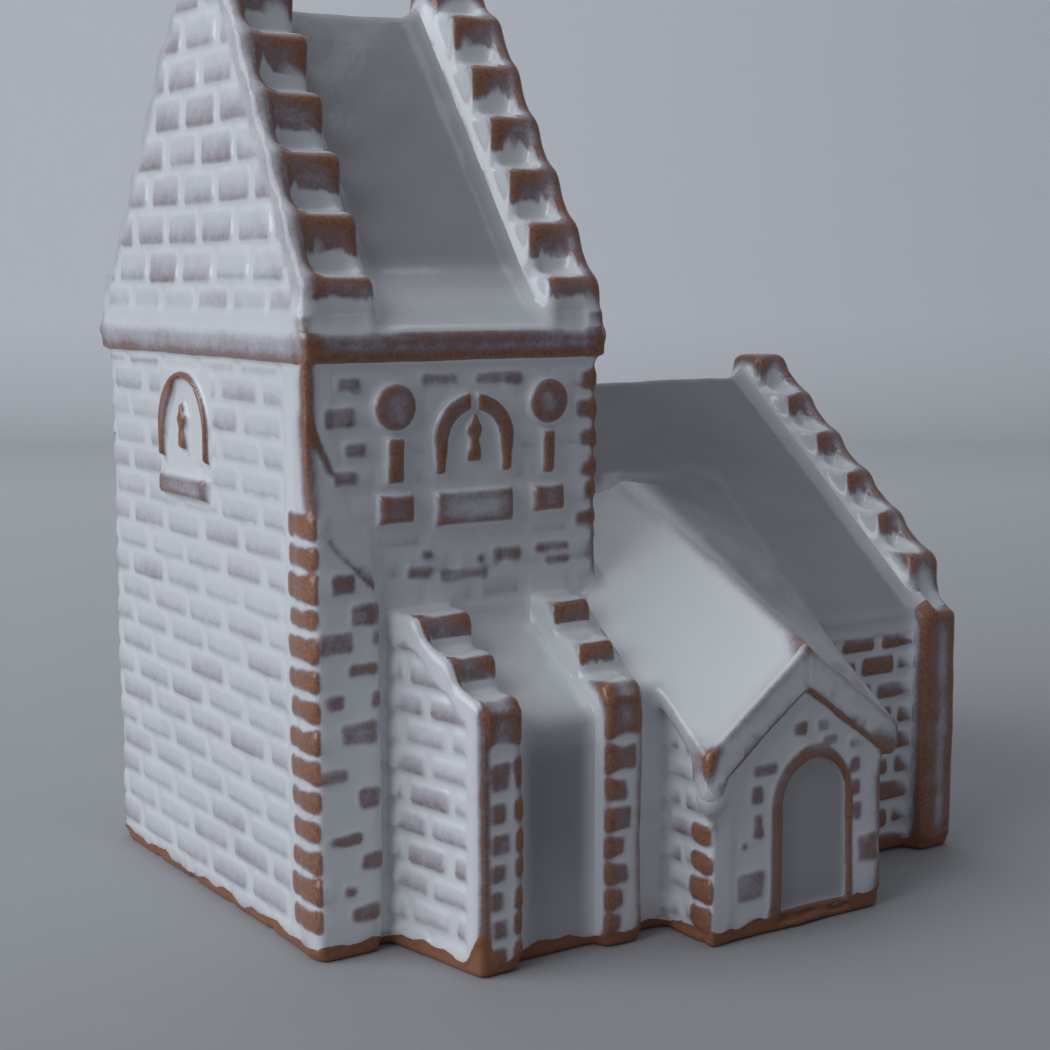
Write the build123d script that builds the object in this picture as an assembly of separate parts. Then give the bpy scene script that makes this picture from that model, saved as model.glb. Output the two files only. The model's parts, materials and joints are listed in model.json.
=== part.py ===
from build123d import *
import os

# A ceramic village church, built from clay slabs that are luted edge to edge. Millimetres.
# +X runs east along the church, +Y north and +Z up. The pieces are laid out from the tower's
# south-west corner at table level and are moved, at the end, to the middle of the whole plan.

# Clay
wall = 5.0                        # rolled slab of every wall
nose_round = 2.2                  # rounding of the steps' noses
overrun = 1.0                     # how far a cutting shape runs past what it cuts

# Tower shell
tower_length = 57.0               # west face to east face
tower_width = 83.0                # south face to north face
tower_wall_height = 105.0
tower_ridge_height = 158.0
tower_roof_slab = 4.0
tower_roof_setback = 3.0          # from a wall's face to the foot of the roof slab

# Tower copings
tower_west_coping_width = 13.0
tower_east_coping_width = 10.5
tower_coping_steps = 6
tower_coping_cover_foot = 1.8     # clay above the roof at the lowest inner corner
tower_west_coping_cover_top = 10.0  # and at the highest, on each gable
tower_east_coping_cover_top = 6.8
tower_cap_width = 10.0
tower_cap_step = 5.7              # cap's top above the highest tread

# Tower cornice
cornice_drop = 7.7                # cornice's underside below the top of the walls
cornice_height = 4.1
cornice_depth = 0.8
cornice_round = 0.4

# Corner pier, with a raking top that leans back to the wall
pier_width = 12.0
pier_depth = 2.5
pier_outer_drop = 8.3             # top's back edge below the cornice, at the tower's corner
pier_outer_rake = 17.0            # and how far the front edge lies below the back one there
pier_inner_rise = 6.5             # back edge above the stair house, on that side
pier_inner_rake = 3.0

# Relief on the tower: windows and lancets
relief_depth = 1.2
window_band = 2.4
window_drop = 13.5                # from the cornice down to the arches' springing
window_leg = 5.2                  # straight legs below the springing
mullion_width = 3.0
mullion_leg = 3.4                 # mullion's reach below the springing
mullion_rise = 3.4                # and up to where its own head begins
sill_gap = 2.6                    # from the legs' feet to the sills
west_window_offset = 5.0          # west window's axis north of the tower's middle
west_window_radius = 10.2
west_sill_height = 4.6
south_window_share = 0.545        # its axis along the tower's length
south_window_radius = 7.9
south_sill_height = 6.4
sill_depth = 1.5
lancet_spacing_share = 0.263      # from the south window's axis to a lancet's
lancet_radius = 3.7
lancet_rise = 6.0                 # roundel's centre above the windows' springing
lancet_stem_width = 2.9
lancet_stem_gap = 1.6             # from the stem's foot to its sill
lancet_sill_width = 7.2
lancet_sill_height = 5.4

# Nave
nave_length = 76.5                # from the tower's east face to the gable's outer face
nave_reach = 10.5                 # how far the nave's south face stands out from the tower's
nave_north_reach = 12.5           # and its north face
nave_eave_height = 47.0
nave_ridge_height = 90.0
nave_roof_slab = 4.0
nave_shoulder_lap = 5.0           # how far a shoulder slab laps onto the tower
pilaster_width = 9.0
pilaster_depth = 3.0
nave_coping_width = 7.0
nave_coping_steps = 5
nave_coping_cover = 0.8
nave_coping_setback = 3.0         # from the wall's face to the lowest riser
nave_cap_width = 10.0
nave_cap_step = 7.5

# Porch
porch_width = 39.5
porch_reach = 21.3                # from the nave's south face to the porch's front
porch_apex_height = 49.3          # top of the ridge at the front
porch_roof_rise = 16.0            # from the roof's side edges up to its ridge, at the front
porch_roof_slab = 3.5             # measured plumb
porch_eave_lap = 1.8              # how far the roof stands out past the side walls
porch_edge_run = 16.5             # from the nave's south face to where a side edge dies into its roof
porch_ridge_run = 30.0            # and to where the ridge does
bargeboard_depth = 1.4
bargeboard_height = 6.4           # measured plumb
bargeboard_round = 2.0
door_x_offset = 3.4               # door's axis east of the porch's middle
door_radius = 7.8
door_spring = 21.8
door_threshold = 3.0
door_slab = 3.0
door_recess = 1.0

# Stair house, a lean-to between two stepped parapets on the tower's south face
stair_depth = 22.3
stair_window_gap = 13.1           # parapets' top at the tower below the south window's sill
stair_fall = 11.5                 # from there down to the front
stair_steps = 3
stair_pier_gap = 2.3              # from the corner pier to the west parapet
stair_west_parapet = 12.2         # west parapet's thickness at the tower
stair_west_askew = 4.0            # how much thinner it is at the front, its outer face being set askew
stair_parapet = 8.0               # east parapet's thickness
stair_east_gap = 6.5              # from there to the tower's east face
stair_panel_sink = 2.8
stair_roof_slab = 4.0
stair_roof_sink = 2.0             # roof's top below the parapet's inner corners
stair_brow_round = 3.0
infill_depth = 18.5               # clay that closes the slot between stair house and porch
infill_drop = 2.5                 # its top below the porch roof's underside

# Levels and lines that follow from the sizes above
tower_middle = tower_width / 2
tower_pitch = (tower_ridge_height - tower_wall_height) / (tower_middle - tower_roof_setback)
cornice_bottom = tower_wall_height - cornice_drop
window_spring = cornice_bottom - window_drop
window_foot = window_spring - window_leg
mullion_foot = window_spring - mullion_leg
mullion_spring = window_spring + mullion_rise
sill_top = window_foot - sill_gap
west_window_y = tower_middle + west_window_offset
south_window_x = south_window_share * tower_length
lancet_spacing = lancet_spacing_share * tower_length
lancet_centre = window_spring + lancet_rise
lancet_stem_foot = sill_top + lancet_stem_gap
nave_width = tower_width + nave_reach + nave_north_reach
nave_east = tower_length + nave_length
nave_south = -nave_reach
nave_north = nave_south + nave_width
nave_middle = nave_south + nave_width / 2
nave_pitch = (nave_ridge_height - nave_eave_height) / (nave_width / 2)
porch_west = tower_length
porch_east = porch_west + porch_width
porch_middle = porch_west + porch_width / 2
porch_front = nave_south - porch_reach
porch_eave_height = porch_apex_height - porch_roof_rise
stair_back_height = sill_top - south_sill_height - stair_window_gap
stair_west_back_x = pier_width + stair_pier_gap
stair_west_front_x = stair_west_back_x + stair_west_askew
stair_panel_x = stair_west_back_x + stair_west_parapet
stair_east = tower_length - stair_east_gap
stair_panel_east = stair_east - stair_parapet
stair_panel_front = stair_panel_sink - stair_depth
stair_pitch = stair_fall / (stair_depth * (1 - 1 / stair_steps))
pier_back_outer = cornice_bottom - pier_outer_drop
pier_front_outer = pier_back_outer - pier_outer_rake
pier_back_inner = stair_back_height + pier_inner_rise
pier_front_inner = pier_back_inner - pier_inner_rake


def block(x0, x1, y0, y1, z0, z1):
    """A slab between two opposite corners."""
    return Pos(x0, y0, z0) * Box(x1 - x0, y1 - y0, z1 - z0, align=(Align.MIN, Align.MIN, Align.MIN))


def outline(points, radii=0):
    """A closed face from corner points, each corner with its own rounding."""
    return make_face(FilletPolyline(*points, radius=radii, close=True))


def section_y(points, y, radii=0):
    """An upright face of (x, z) points at one y."""
    return Plane.XZ.offset(-y) * outline(points, radii)


def prism_x(points, x0, x1, radii=0):
    """A face of (y, z) points drawn along X."""
    return extrude(Plane.YZ.offset(x0) * outline(points, radii), x1 - x0)


def prism_y(points, y0, y1, radii=0):
    """A face of (x, z) points drawn along Y."""
    return extrude(section_y(points, y1, radii), y1 - y0)


def flip_y(solid, middle):
    """The same piece on the other side of the upright plane at y = middle."""
    return mirror(solid, about=Plane((0, middle, 0), z_dir=(0, 1, 0)))


def flip_x(solid, middle):
    """The same piece on the other side of the upright plane at x = middle."""
    return mirror(solid, about=Plane((middle, 0, 0), z_dir=(1, 0, 0)))


def arch(middle, foot, spring, radius):
    """A round-headed face, the shape of the windows and the door."""
    left = middle - radius
    right = middle + radius
    head = ThreePointArc((right, spring), (middle, spring + radius), (left, spring))
    sides = Polyline((left, spring), (left, foot), (right, foot), (right, spring))
    return make_face([*head.edges(), *sides.edges()])


def arch_band(middle, radius):
    """The raised band round a window's head and jambs."""
    opening = arch(middle, window_foot - overrun, window_spring, radius - window_band)
    return arch(middle, window_foot, window_spring, radius) - opening


def panel(middle, width, top, height):
    """A flat oblong with its top edge at a given level."""
    return Pos(middle, top) * Rectangle(width, height, align=(Align.CENTER, Align.MAX))


def on_south_face(face, depth):
    """Relief that stands out from the tower's south face."""
    return extrude(Plane.XZ * face, depth)


def on_west_face(face, depth):
    """Relief that stands out from the tower's west face."""
    return extrude(Plane.YZ * face, -depth)


def tower_roof_z(y):
    """Top of the tower's south roof slope."""
    return tower_wall_height + (y - tower_roof_setback) * tower_pitch


def nave_roof_z(y):
    """Top of the nave's south roof slope."""
    return nave_eave_height + (y - nave_south) * nave_pitch


def coping_outline(foot, seat, cap, roof_z, steps, cover_foot, cover_top):
    """A stepped strip on a roof slope, from y = foot, level as far as its seat, up to the cap."""
    run = (cap - foot) / steps
    points = [(seat, roof_z(seat))]
    if seat > foot:
        points += [(foot, roof_z(seat))]
    radii = [0] * len(points)
    for step in range(steps):
        inner = foot + run * (step + 1)
        cover = cover_foot + (cover_top - cover_foot) * step / (steps - 1)
        tread = roof_z(inner) + cover
        points += [(inner - run, tread), (inner, tread)]
        radii += [nose_round, 0]
    return points + [(cap, roof_z(cap))], radii + [0]


def cap_outline(middle, width, roof_z, top):
    """The block that sits astride the ridge between two coping strips."""
    near = middle - width / 2
    far = middle + width / 2
    points = [(near, roof_z(near)), (near, top), (far, top), (far, roof_z(near)), (middle, roof_z(middle))]
    return points, [0, nose_round, nose_round, 0, 0]


def slope_outline(foot, middle, roof_z, slab, pitch):
    """A roof slab that is cut plumb at the ridge and level at its foot."""
    plumb = slab * (1 + pitch**2) ** 0.5
    return [(foot, roof_z(foot)), (middle, roof_z(middle)), (middle, roof_z(middle) - plumb),
            (foot + plumb / pitch, roof_z(foot))]


def tower_shell():
    gable = [(0, 0), (tower_width, 0), (tower_width, tower_wall_height),
             (tower_width - tower_roof_setback, tower_wall_height), (tower_middle, tower_ridge_height),
             (tower_roof_setback, tower_wall_height), (0, tower_wall_height)]
    inner_west = wall
    inner_east = tower_length - wall
    slope = slope_outline(tower_roof_setback, tower_middle, tower_roof_z, tower_roof_slab, tower_pitch)
    south_wall = block(inner_west, inner_east, 0, wall, 0, tower_wall_height)
    south_roof = prism_x(slope, inner_west, inner_east)
    return {
        "tower_west_wall": prism_x(gable, 0, wall),
        "tower_east_wall": prism_x(gable, inner_east, tower_length),
        "tower_south_wall": south_wall,
        "tower_north_wall": flip_y(south_wall, tower_middle),
        "tower_roof_south": south_roof,
        "tower_roof_north": flip_y(south_roof, tower_middle),
    }


def tower_copings():
    cap_foot = tower_middle - tower_cap_width / 2
    pieces = {}
    for side, x0, x1, cover_top in (
            ("west", 0, tower_west_coping_width, tower_west_coping_cover_top),
            ("east", tower_length - tower_east_coping_width, tower_length, tower_east_coping_cover_top)):
        strip, strip_radii = coping_outline(0, tower_roof_setback, cap_foot, tower_roof_z,
                                            tower_coping_steps, tower_coping_cover_foot, cover_top)
        cap_top = tower_roof_z(cap_foot) + cover_top + tower_cap_step
        cap, cap_radii = cap_outline(tower_middle, tower_cap_width, tower_roof_z, cap_top)
        south = prism_x(strip, x0, x1, strip_radii)
        pieces[f"tower_{side}_coping_south"] = south
        pieces[f"tower_{side}_coping_north"] = flip_y(south, tower_middle)
        pieces[f"tower_{side}_cap"] = prism_x(cap, x0, x1, cap_radii)
    return pieces


def tower_cornice():
    top = cornice_bottom + cornice_height
    band = [(0, cornice_bottom), (0, top), (-cornice_depth, top), (-cornice_depth, cornice_bottom)]
    radii = [0, 0, cornice_round, cornice_round]
    south = prism_x(band, 0, tower_length, radii)
    west = prism_y(band, -cornice_depth, tower_width + cornice_depth, radii)
    return {
        "tower_cornice_south": south,
        "tower_cornice_north": flip_y(south, tower_middle),
        "tower_cornice_west": west,
        "tower_cornice_east": flip_x(west, tower_length / 2),
    }


def tower_pier():
    front = [(0, 0), (pier_width, 0), (pier_width, pier_front_inner), (0, pier_front_outer)]
    back = [(0, 0), (pier_width, 0), (pier_width, pier_back_inner), (0, pier_back_outer)]
    return {"tower_corner_pier": loft([section_y(front, -pier_depth), section_y(back, 0)], ruled=True)}


def tower_windows():
    pieces = {}
    for side, place, middle, radius, sill_height in (
            ("west", on_west_face, west_window_y, west_window_radius, west_sill_height),
            ("south", on_south_face, south_window_x, south_window_radius, south_sill_height)):
        mullion = arch(middle, mullion_foot, mullion_spring, mullion_width / 2)
        sill = panel(middle, 2 * radius, sill_top, sill_height)
        pieces[f"tower_{side}_window_arch"] = place(arch_band(middle, radius), relief_depth)
        pieces[f"tower_{side}_window_mullion"] = place(mullion, relief_depth)
        pieces[f"tower_{side}_window_sill"] = place(sill, sill_depth)
    return pieces


def tower_lancets():
    pieces = {}
    for side, offset in (("west", -lancet_spacing), ("east", lancet_spacing)):
        middle = south_window_x + offset
        stem = panel(middle, lancet_stem_width, lancet_centre, lancet_centre - lancet_stem_foot)
        lancet = Pos(middle, lancet_centre) * Circle(lancet_radius) + stem
        sill = panel(middle, lancet_sill_width, sill_top, lancet_sill_height)
        pieces[f"tower_lancet_{side}"] = on_south_face(lancet, relief_depth)
        pieces[f"tower_lancet_{side}_sill"] = on_south_face(sill, sill_depth)
    return pieces


def nave_shell():
    plumb = nave_roof_slab * (1 + nave_pitch**2) ** 0.5
    inner_east = nave_east - wall
    inner_south = nave_south + wall
    gable = [(nave_south, 0), (nave_north, 0), (nave_north, nave_eave_height),
             (nave_middle, nave_ridge_height), (nave_south, nave_eave_height)]
    slope = [(nave_south, nave_eave_height), (nave_middle, nave_ridge_height),
             (nave_middle, nave_ridge_height - plumb), (nave_south, nave_eave_height - plumb)]

    def side_outline(y0, y1):
        return [(y0, 0), (y1, 0), (y1, nave_roof_z(y1) - plumb), (y0, nave_roof_z(y0) - plumb)]

    south_wall = prism_x(side_outline(nave_south, inner_south), tower_length, inner_east)
    south_roof = prism_x(slope, tower_length, inner_east)
    south_shoulder = prism_x(side_outline(inner_south, nave_shoulder_lap), tower_length, tower_length + wall)
    north_shoulder = prism_x(
        side_outline(inner_south, 2 * nave_middle - tower_width + nave_shoulder_lap),
        tower_length, tower_length + wall)
    pilaster = block(nave_east - pilaster_width, nave_east, nave_south - pilaster_depth, nave_south,
                     0, nave_eave_height)
    return {
        "nave_south_wall": south_wall,
        "nave_north_wall": flip_y(south_wall, nave_middle),
        "nave_east_wall": prism_x(gable, inner_east, nave_east),
        "nave_shoulder_south": south_shoulder,
        "nave_shoulder_north": flip_y(north_shoulder, nave_middle),
        "nave_pilaster_south": pilaster,
        "nave_pilaster_north": flip_y(pilaster, nave_middle),
        "nave_roof_south": south_roof,
        "nave_roof_north": flip_y(south_roof, nave_middle),
    }


def nave_coping():
    cap_foot = nave_middle - nave_cap_width / 2
    foot = nave_south + nave_coping_setback
    strip, strip_radii = coping_outline(foot, foot, cap_foot, nave_roof_z, nave_coping_steps,
                                        nave_coping_cover, nave_coping_cover)
    cap_top = nave_roof_z(cap_foot) + nave_coping_cover + nave_cap_step
    cap, cap_radii = cap_outline(nave_middle, nave_cap_width, nave_roof_z, cap_top)
    south = prism_x(strip, nave_east - nave_coping_width, nave_east, strip_radii)
    return {
        "nave_coping_south": south,
        "nave_coping_north": flip_y(south, nave_middle),
        "nave_cap": prism_x(cap, nave_east - nave_coping_width, nave_east, cap_radii),
    }


def porch_edge_z(y):
    """Top of the porch roof's side edges, which rise to die into the nave's roof."""
    end = nave_south + porch_edge_run
    share = (y - porch_front) / (end - porch_front)
    return porch_eave_height + share * (nave_roof_z(end) - porch_eave_height)


def porch_ridge_z(y):
    """Top of the porch's ridge, which rises less steeply than its side edges."""
    end = nave_south + porch_ridge_run
    share = (y - porch_front) / (end - porch_front)
    return porch_apex_height + share * (nave_roof_z(end) - porch_apex_height)


def porch_roof_body(below, above):
    """West half of the roof, between two surfaces parallel to its top, from front to back."""
    def section(y):
        return section_y([
            (porch_west - porch_eave_lap, porch_edge_z(y) - below),
            (porch_middle, porch_ridge_z(y) - below),
            (porch_middle, porch_ridge_z(y) + above),
            (porch_west - porch_eave_lap, porch_edge_z(y) + above)], y)

    back = nave_south + porch_ridge_run + overrun
    return loft([section(porch_front), section(back)], ruled=True)


def porch_shell():
    nave_body = prism_x([(nave_south, 0), (nave_middle, 0), (nave_middle, nave_ridge_height),
                         (nave_south, nave_eave_height)], tower_length, nave_east)
    tower_body = block(0, tower_length, 0, tower_width, 0, tower_ridge_height)
    roof = porch_roof_body(porch_roof_slab, 0)
    over_roof = porch_roof_body(porch_roof_slab, porch_apex_height)
    inner_front = porch_front + wall
    top = porch_apex_height
    west_wall = block(porch_west, porch_west + wall, inner_front, nave_south, 0, top) - over_roof
    opening = arch(porch_middle + door_x_offset, door_threshold, door_spring, door_radius)
    doorway = extrude(Plane.XZ.offset(-porch_front - wall) * opening, wall)
    front = block(porch_west, porch_east, porch_front, inner_front, 0, top)
    south_wall = front - over_roof - flip_x(over_roof, porch_middle) - doorway
    door_back = porch_front + door_recess + door_slab
    return {
        "porch_west_wall": west_wall,
        "porch_east_wall": flip_x(west_wall, porch_middle),
        "porch_south_wall": south_wall,
        "porch_door": extrude(Plane.XZ.offset(-door_back) * opening, door_slab),
        "porch_roof_west": roof - nave_body - tower_body,
        "porch_roof_east": flip_x(roof, porch_middle) - nave_body,
    }


def porch_bargeboards():
    eave_x = porch_west - porch_eave_lap
    board = [(eave_x, porch_eave_height), (porch_middle, porch_apex_height),
             (porch_middle, porch_apex_height - bargeboard_height),
             (eave_x, porch_eave_height - bargeboard_height)]
    west = prism_y(board, porch_front - bargeboard_depth, porch_front, [bargeboard_round, 0, 0, bargeboard_round])
    return {"porch_bargeboard_west": west, "porch_bargeboard_east": flip_x(west, porch_middle)}


def stair_parapet_outline():
    """Stepped side wall, from the tower's face at y = 0 out to the front."""
    run = stair_depth / stair_steps
    points = [(0, 0)]
    radii = [0]
    for step in range(stair_steps):
        tread = stair_back_height - run * step * stair_pitch
        points += [(-run * step, tread), (-run * (step + 1), tread)]
        radii += [0, nose_round]
    return points + [(-stair_depth, 0)], radii + [0]


def stair_house():
    parapet, radii = stair_parapet_outline()
    west_blank = prism_x(parapet, stair_west_back_x, stair_panel_x, radii)
    west_plan = Polyline((stair_west_back_x, 0), (stair_panel_x, 0), (stair_panel_x, -stair_depth),
                         (stair_west_front_x, -stair_depth), close=True)
    roof_back = stair_back_height - stair_roof_sink
    roof_front = roof_back + stair_panel_front * stair_pitch
    roof = [(0, roof_back), (stair_panel_front, roof_front),
            (stair_panel_front, roof_front - stair_roof_slab), (0, roof_back - stair_roof_slab)]
    front_top = roof_front - stair_roof_slab
    front = [(stair_panel_front, 0), (stair_panel_front, front_top),
             (stair_panel_front + wall, front_top + wall * stair_pitch), (stair_panel_front + wall, 0)]
    underside = porch_roof_slab + infill_drop
    infill = [(0, 0), (0, porch_edge_z(0) - underside),
              (-infill_depth, porch_edge_z(-infill_depth) - underside), (-infill_depth, 0)]
    return {
        "stair_west_parapet": west_blank & extrude(make_face(west_plan), stair_back_height),
        "stair_east_parapet": prism_x(parapet, stair_panel_east, stair_east, radii),
        "stair_front_panel": prism_x(front, stair_panel_x, stair_panel_east),
        "stair_roof": prism_x(roof, stair_panel_x, stair_panel_east, [0, stair_brow_round, 0, 0]),
        "stair_infill": prism_x(infill, stair_east, tower_length),
    }


pieces = {
    **tower_shell(), **tower_copings(), **tower_cornice(), **tower_pier(), **tower_windows(),
    **tower_lancets(), **nave_shell(), **nave_coping(), **porch_shell(), **porch_bargeboards(),
    **stair_house(),
}

# The origin is the middle of the whole plan, at table level.
plan = Compound(children=[Part() + piece for piece in pieces.values()]).bounding_box().center()
os.makedirs("parts", exist_ok=True)
for name, piece in pieces.items():
    export_step(Pos(-plan.X, -plan.Y, 0) * piece, f"parts/{name}.step")
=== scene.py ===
import json
import math
from types import SimpleNamespace

import bpy
import numpy as np
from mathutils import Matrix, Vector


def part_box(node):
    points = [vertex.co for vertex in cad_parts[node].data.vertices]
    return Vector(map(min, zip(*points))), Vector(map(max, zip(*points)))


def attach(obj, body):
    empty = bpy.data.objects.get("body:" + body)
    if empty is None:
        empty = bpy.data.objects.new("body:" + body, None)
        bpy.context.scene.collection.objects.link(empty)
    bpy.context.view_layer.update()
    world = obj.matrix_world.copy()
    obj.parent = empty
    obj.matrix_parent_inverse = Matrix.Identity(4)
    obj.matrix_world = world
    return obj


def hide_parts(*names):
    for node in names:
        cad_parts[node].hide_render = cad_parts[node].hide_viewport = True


# A glazed ceramic village church. Each piece is a closed skin round its CAD solid: the solids' outer
# shape is softened as thick glaze softens clay, brick courses are pressed into it, and the skin is cut
# into pieces along the solids. Shapes are worked out in millimetres, in the frame's axes:
# +X east, +Y north and +Z up.

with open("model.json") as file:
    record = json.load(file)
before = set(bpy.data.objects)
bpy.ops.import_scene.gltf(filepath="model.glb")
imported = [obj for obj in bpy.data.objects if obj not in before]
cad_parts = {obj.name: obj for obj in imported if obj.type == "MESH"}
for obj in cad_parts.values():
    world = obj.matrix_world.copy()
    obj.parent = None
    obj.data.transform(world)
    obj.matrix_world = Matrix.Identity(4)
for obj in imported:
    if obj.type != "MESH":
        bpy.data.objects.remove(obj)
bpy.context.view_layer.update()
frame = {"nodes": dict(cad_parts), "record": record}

MM = 0.001
TOUCH = 0.02                  # two CAD coordinates this close are the same
PITCH = 0.5   # spacing of the lattice that the skin is drawn on
MARGIN = 4.0                  # lattice round each solid
ROOT = 3.0                    # how far a shape runs on into the one that carries it
LAP = 1.0                     # and how far two side by side run into each other
GROUND = 10.0                 # how far shapes run on below the table before they are cut level
SLACK = 3.0                   # how far a piece laps under its neighbours' skin
LAP_DIP = 0.2                 # and how deep it lies there
LAP_EDGE = 1.2                # length over which it sinks to that depth
SLACK_DEPTHS = (-3.0, -1.5)   # depth below the skin from which to which a piece widens to its lap
PINCH = 0.0001                # where the skin would touch itself, a lattice point is put this far outside it
KEPT_FACES = 0.4              # share of the lattice's faces that are kept, the flattest going first


# Reading the CAD solids

def corners(*nodes):
    """Lowest and highest corner of some CAD nodes together."""
    boxes = [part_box(node) for node in nodes]
    low = np.min([np.array(box[0]) for box in boxes], axis=0)
    high = np.max([np.array(box[1]) for box in boxes], axis=0)
    return low / MM, high / MM


def node_points(node):
    return np.array([v.co for v in frame["nodes"][node].data.vertices]) / MM


def profile(node, axis, far_end=False):
    """Closed outlines of a node's end face across one axis, as rows of the other two coordinates."""
    mesh = frame["nodes"][node].data
    points = [tuple(round(c / MM, 3) for c in v.co) for v in mesh.vertices]
    end = (max if far_end else min)(p[axis] for p in points)
    edges = set()
    for face in mesh.polygons:
        ring = [points[i] for i in face.vertices]
        if all(abs(p[axis] - end) < TOUCH for p in ring):
            flat = [p[:axis] + p[axis + 1:] for p in ring]
            for a, b in zip(flat, flat[1:] + flat[:1]):
                if (b, a) in edges:
                    edges.remove((b, a))
                else:
                    edges.add((a, b))
    following = dict(sorted(edges))
    loops = []
    while following:
        start = min(following)
        loop = [start]
        point = following.pop(start)
        while point != start:
            loop.append(point)
            point = following.pop(point)
        loops.append(np.array(loop))
    return loops


def pushed(loops, column, value, shift):
    """The outlines with every point that lies at one coordinate moved along it."""
    moved = [loop.copy() for loop in loops]
    for loop in moved:
        loop[abs(loop[:, column] - value) < TOUCH, column] += shift
    return moved


# Signed distances, negative inside

def polygon(loops, u, v):
    """Distance to closed outlines in a plane."""
    nearest = np.full(np.broadcast_shapes(u.shape, v.shape), np.inf)
    inside = np.zeros(nearest.shape, bool)
    for loop in loops:
        for (au, av), (bu, bv) in zip(loop, np.roll(loop, -1, axis=0)):
            du, dv = bu - au, bv - av
            pu, pv = u - au, v - av
            share = np.clip((pu * du + pv * dv) / (du * du + dv * dv), 0, 1)
            nearest = np.minimum(nearest, (pu - share * du) ** 2 + (pv - share * dv) ** 2)
            spans = (av > v) != (bv > v)
            inside ^= spans & ((pu * dv < pv * du) == (dv > 0))
    distance = np.sqrt(nearest)
    return np.where(inside, -distance, distance)


def meet(a, b, rounding=0.0):
    """Where two shapes overlap, with the edge between them rounded."""
    a, b = a + rounding, b + rounding
    outside = np.hypot(np.maximum(a, 0), np.maximum(b, 0))
    return np.minimum(np.maximum(a, b), 0) + outside - rounding


def join(a, b, fillet):
    """Two shapes as one, with glaze in the corner between them."""
    lap = np.maximum(fillet - abs(a - b), 0) / fillet
    return np.minimum(a, b) - lap * lap * fillet / 4


def ease(value, start, end):
    """A smooth step from 0 to 1."""
    share = np.clip((value - start) / (end - start), 0, 1)
    return share * share * (3 - 2 * share)


def scatter(a, b, seed):
    """A steady share from 0 to 1 for each brick."""
    return np.modf(abs(np.sin(a * 12.9898 + b * 78.233 + seed * 37.719) * 43758.5453))[0]


def ripple(x, y, z, size, seed, waves=7):
    """A smooth wandering value, about -1 to 1, that repeats nowhere near."""
    rng = np.random.default_rng(seed)
    total = 0
    for _ in range(waves):
        way = rng.normal(size=3)
        way *= 2 * math.pi / size / np.linalg.norm(way)
        total = total + np.sin(way[0] * x + way[1] * y + way[2] * z + rng.uniform(0, 2 * math.pi))
    return total / math.sqrt(waves)


class Solid:
    """A shape's box and its signed distance on a lattice."""

    def __init__(self, low, high, distance):
        self.low = np.array(low, float)
        self.high = np.array(high, float)
        self.distance = distance


def nearby(shapes, low, high):
    """The shapes whose boxes come near a piece's box."""
    return [shape for shape in shapes
            if np.all(shape.low < high + MARGIN) and np.all(shape.high > low - MARGIN)]


def prism(loops, axis, start, end, grow=0.0, rounding=0.0):
    """An outline drawn along one axis."""
    points = np.concatenate(loops)
    low = np.insert(points.min(axis=0) - grow, axis, start)
    high = np.insert(points.max(axis=0) + grow, axis, end)

    def distance(grid):
        u, v = (grid[i] for i in range(3) if i != axis)
        along = grid[axis]
        ends = np.maximum(start - along, along - end)
        return meet(polygon(loops, u, v) - grow, ends, rounding)

    return Solid(low, high, distance)


def block(low, high):
    """An upright box."""
    plan = np.array([(low[0], low[1]), (high[0], low[1]), (high[0], high[1]), (low[0], high[1])])
    return prism([plan], 2, low[2], high[2])


def cut_by_plane(solid, point, normal):
    """The part of a solid that lies behind a plane."""
    def distance(grid):
        beyond = sum((grid[i] - point[i]) * normal[i] for i in range(3))
        return np.maximum(solid.distance(grid), beyond)

    return Solid(solid.low, solid.high, distance)


def leaning(solid, foot, lean):
    """A solid that leans east above its foot, by a share of the height."""
    def distance(grid):
        x, y, z = grid
        return solid.distance((x - lean * np.maximum(z - foot, 0), y, z))

    return Solid(solid.low, solid.high + (lean * (solid.high[2] - foot), 0, 0), distance)


def run_between(node, axis):
    low, high = corners(node)
    return low[axis], high[axis]


RAIL_WIDTH = 2.8              # smooth rim along the outer edge of a stepped coping
RAIL_SINK = 0.9               # its top below the steps' noses


def nose_line(loops, base):
    """The outline that fills a stepped one nearly up to the line of its noses."""
    points = np.concatenate(loops)
    points = points[np.lexsort((points[:, 1], points[:, 0]))]
    hull = []
    for point in points:
        while len(hull) > 1:
            (au, av), (bu, bv) = hull[-2:]
            if (bu - au) * (point[1] - av) - (bv - av) * (point[0] - au) < 0:
                break
            hull.pop()
        hull.append(tuple(point))
    sunk = [(u, v - RAIL_SINK) for u, v in hull]
    return np.array(sunk + [(sunk[-1][0], base), (sunk[0][0], base)])


RIM = 2.4                     # width of the band without bricks along a stepped outline


def rim(outline, axis, start, end):
    """The band just inside an outline."""
    def distance(grid):
        u, v = (grid[i] for i in range(3) if i != axis)
        inside = polygon([outline], u, v)
        return np.maximum(inside, -inside - RIM) + 0 * grid[axis]

    low = np.insert(outline.min(axis=0), axis, start)
    high = np.insert(outline.max(axis=0), axis, end)
    return Solid(low, high, distance)


rims = []


def rail(loops, base, axis, start, end):
    """The smooth rim along a stepped outline's outer side."""
    outline = nose_line(loops, base)
    rims.append(rim(outline, axis, start - RAIL_WIDTH, end + RAIL_WIDTH))
    return prism([outline], axis, start, end)


# The church's outer shape, one function for each of its masses

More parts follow.
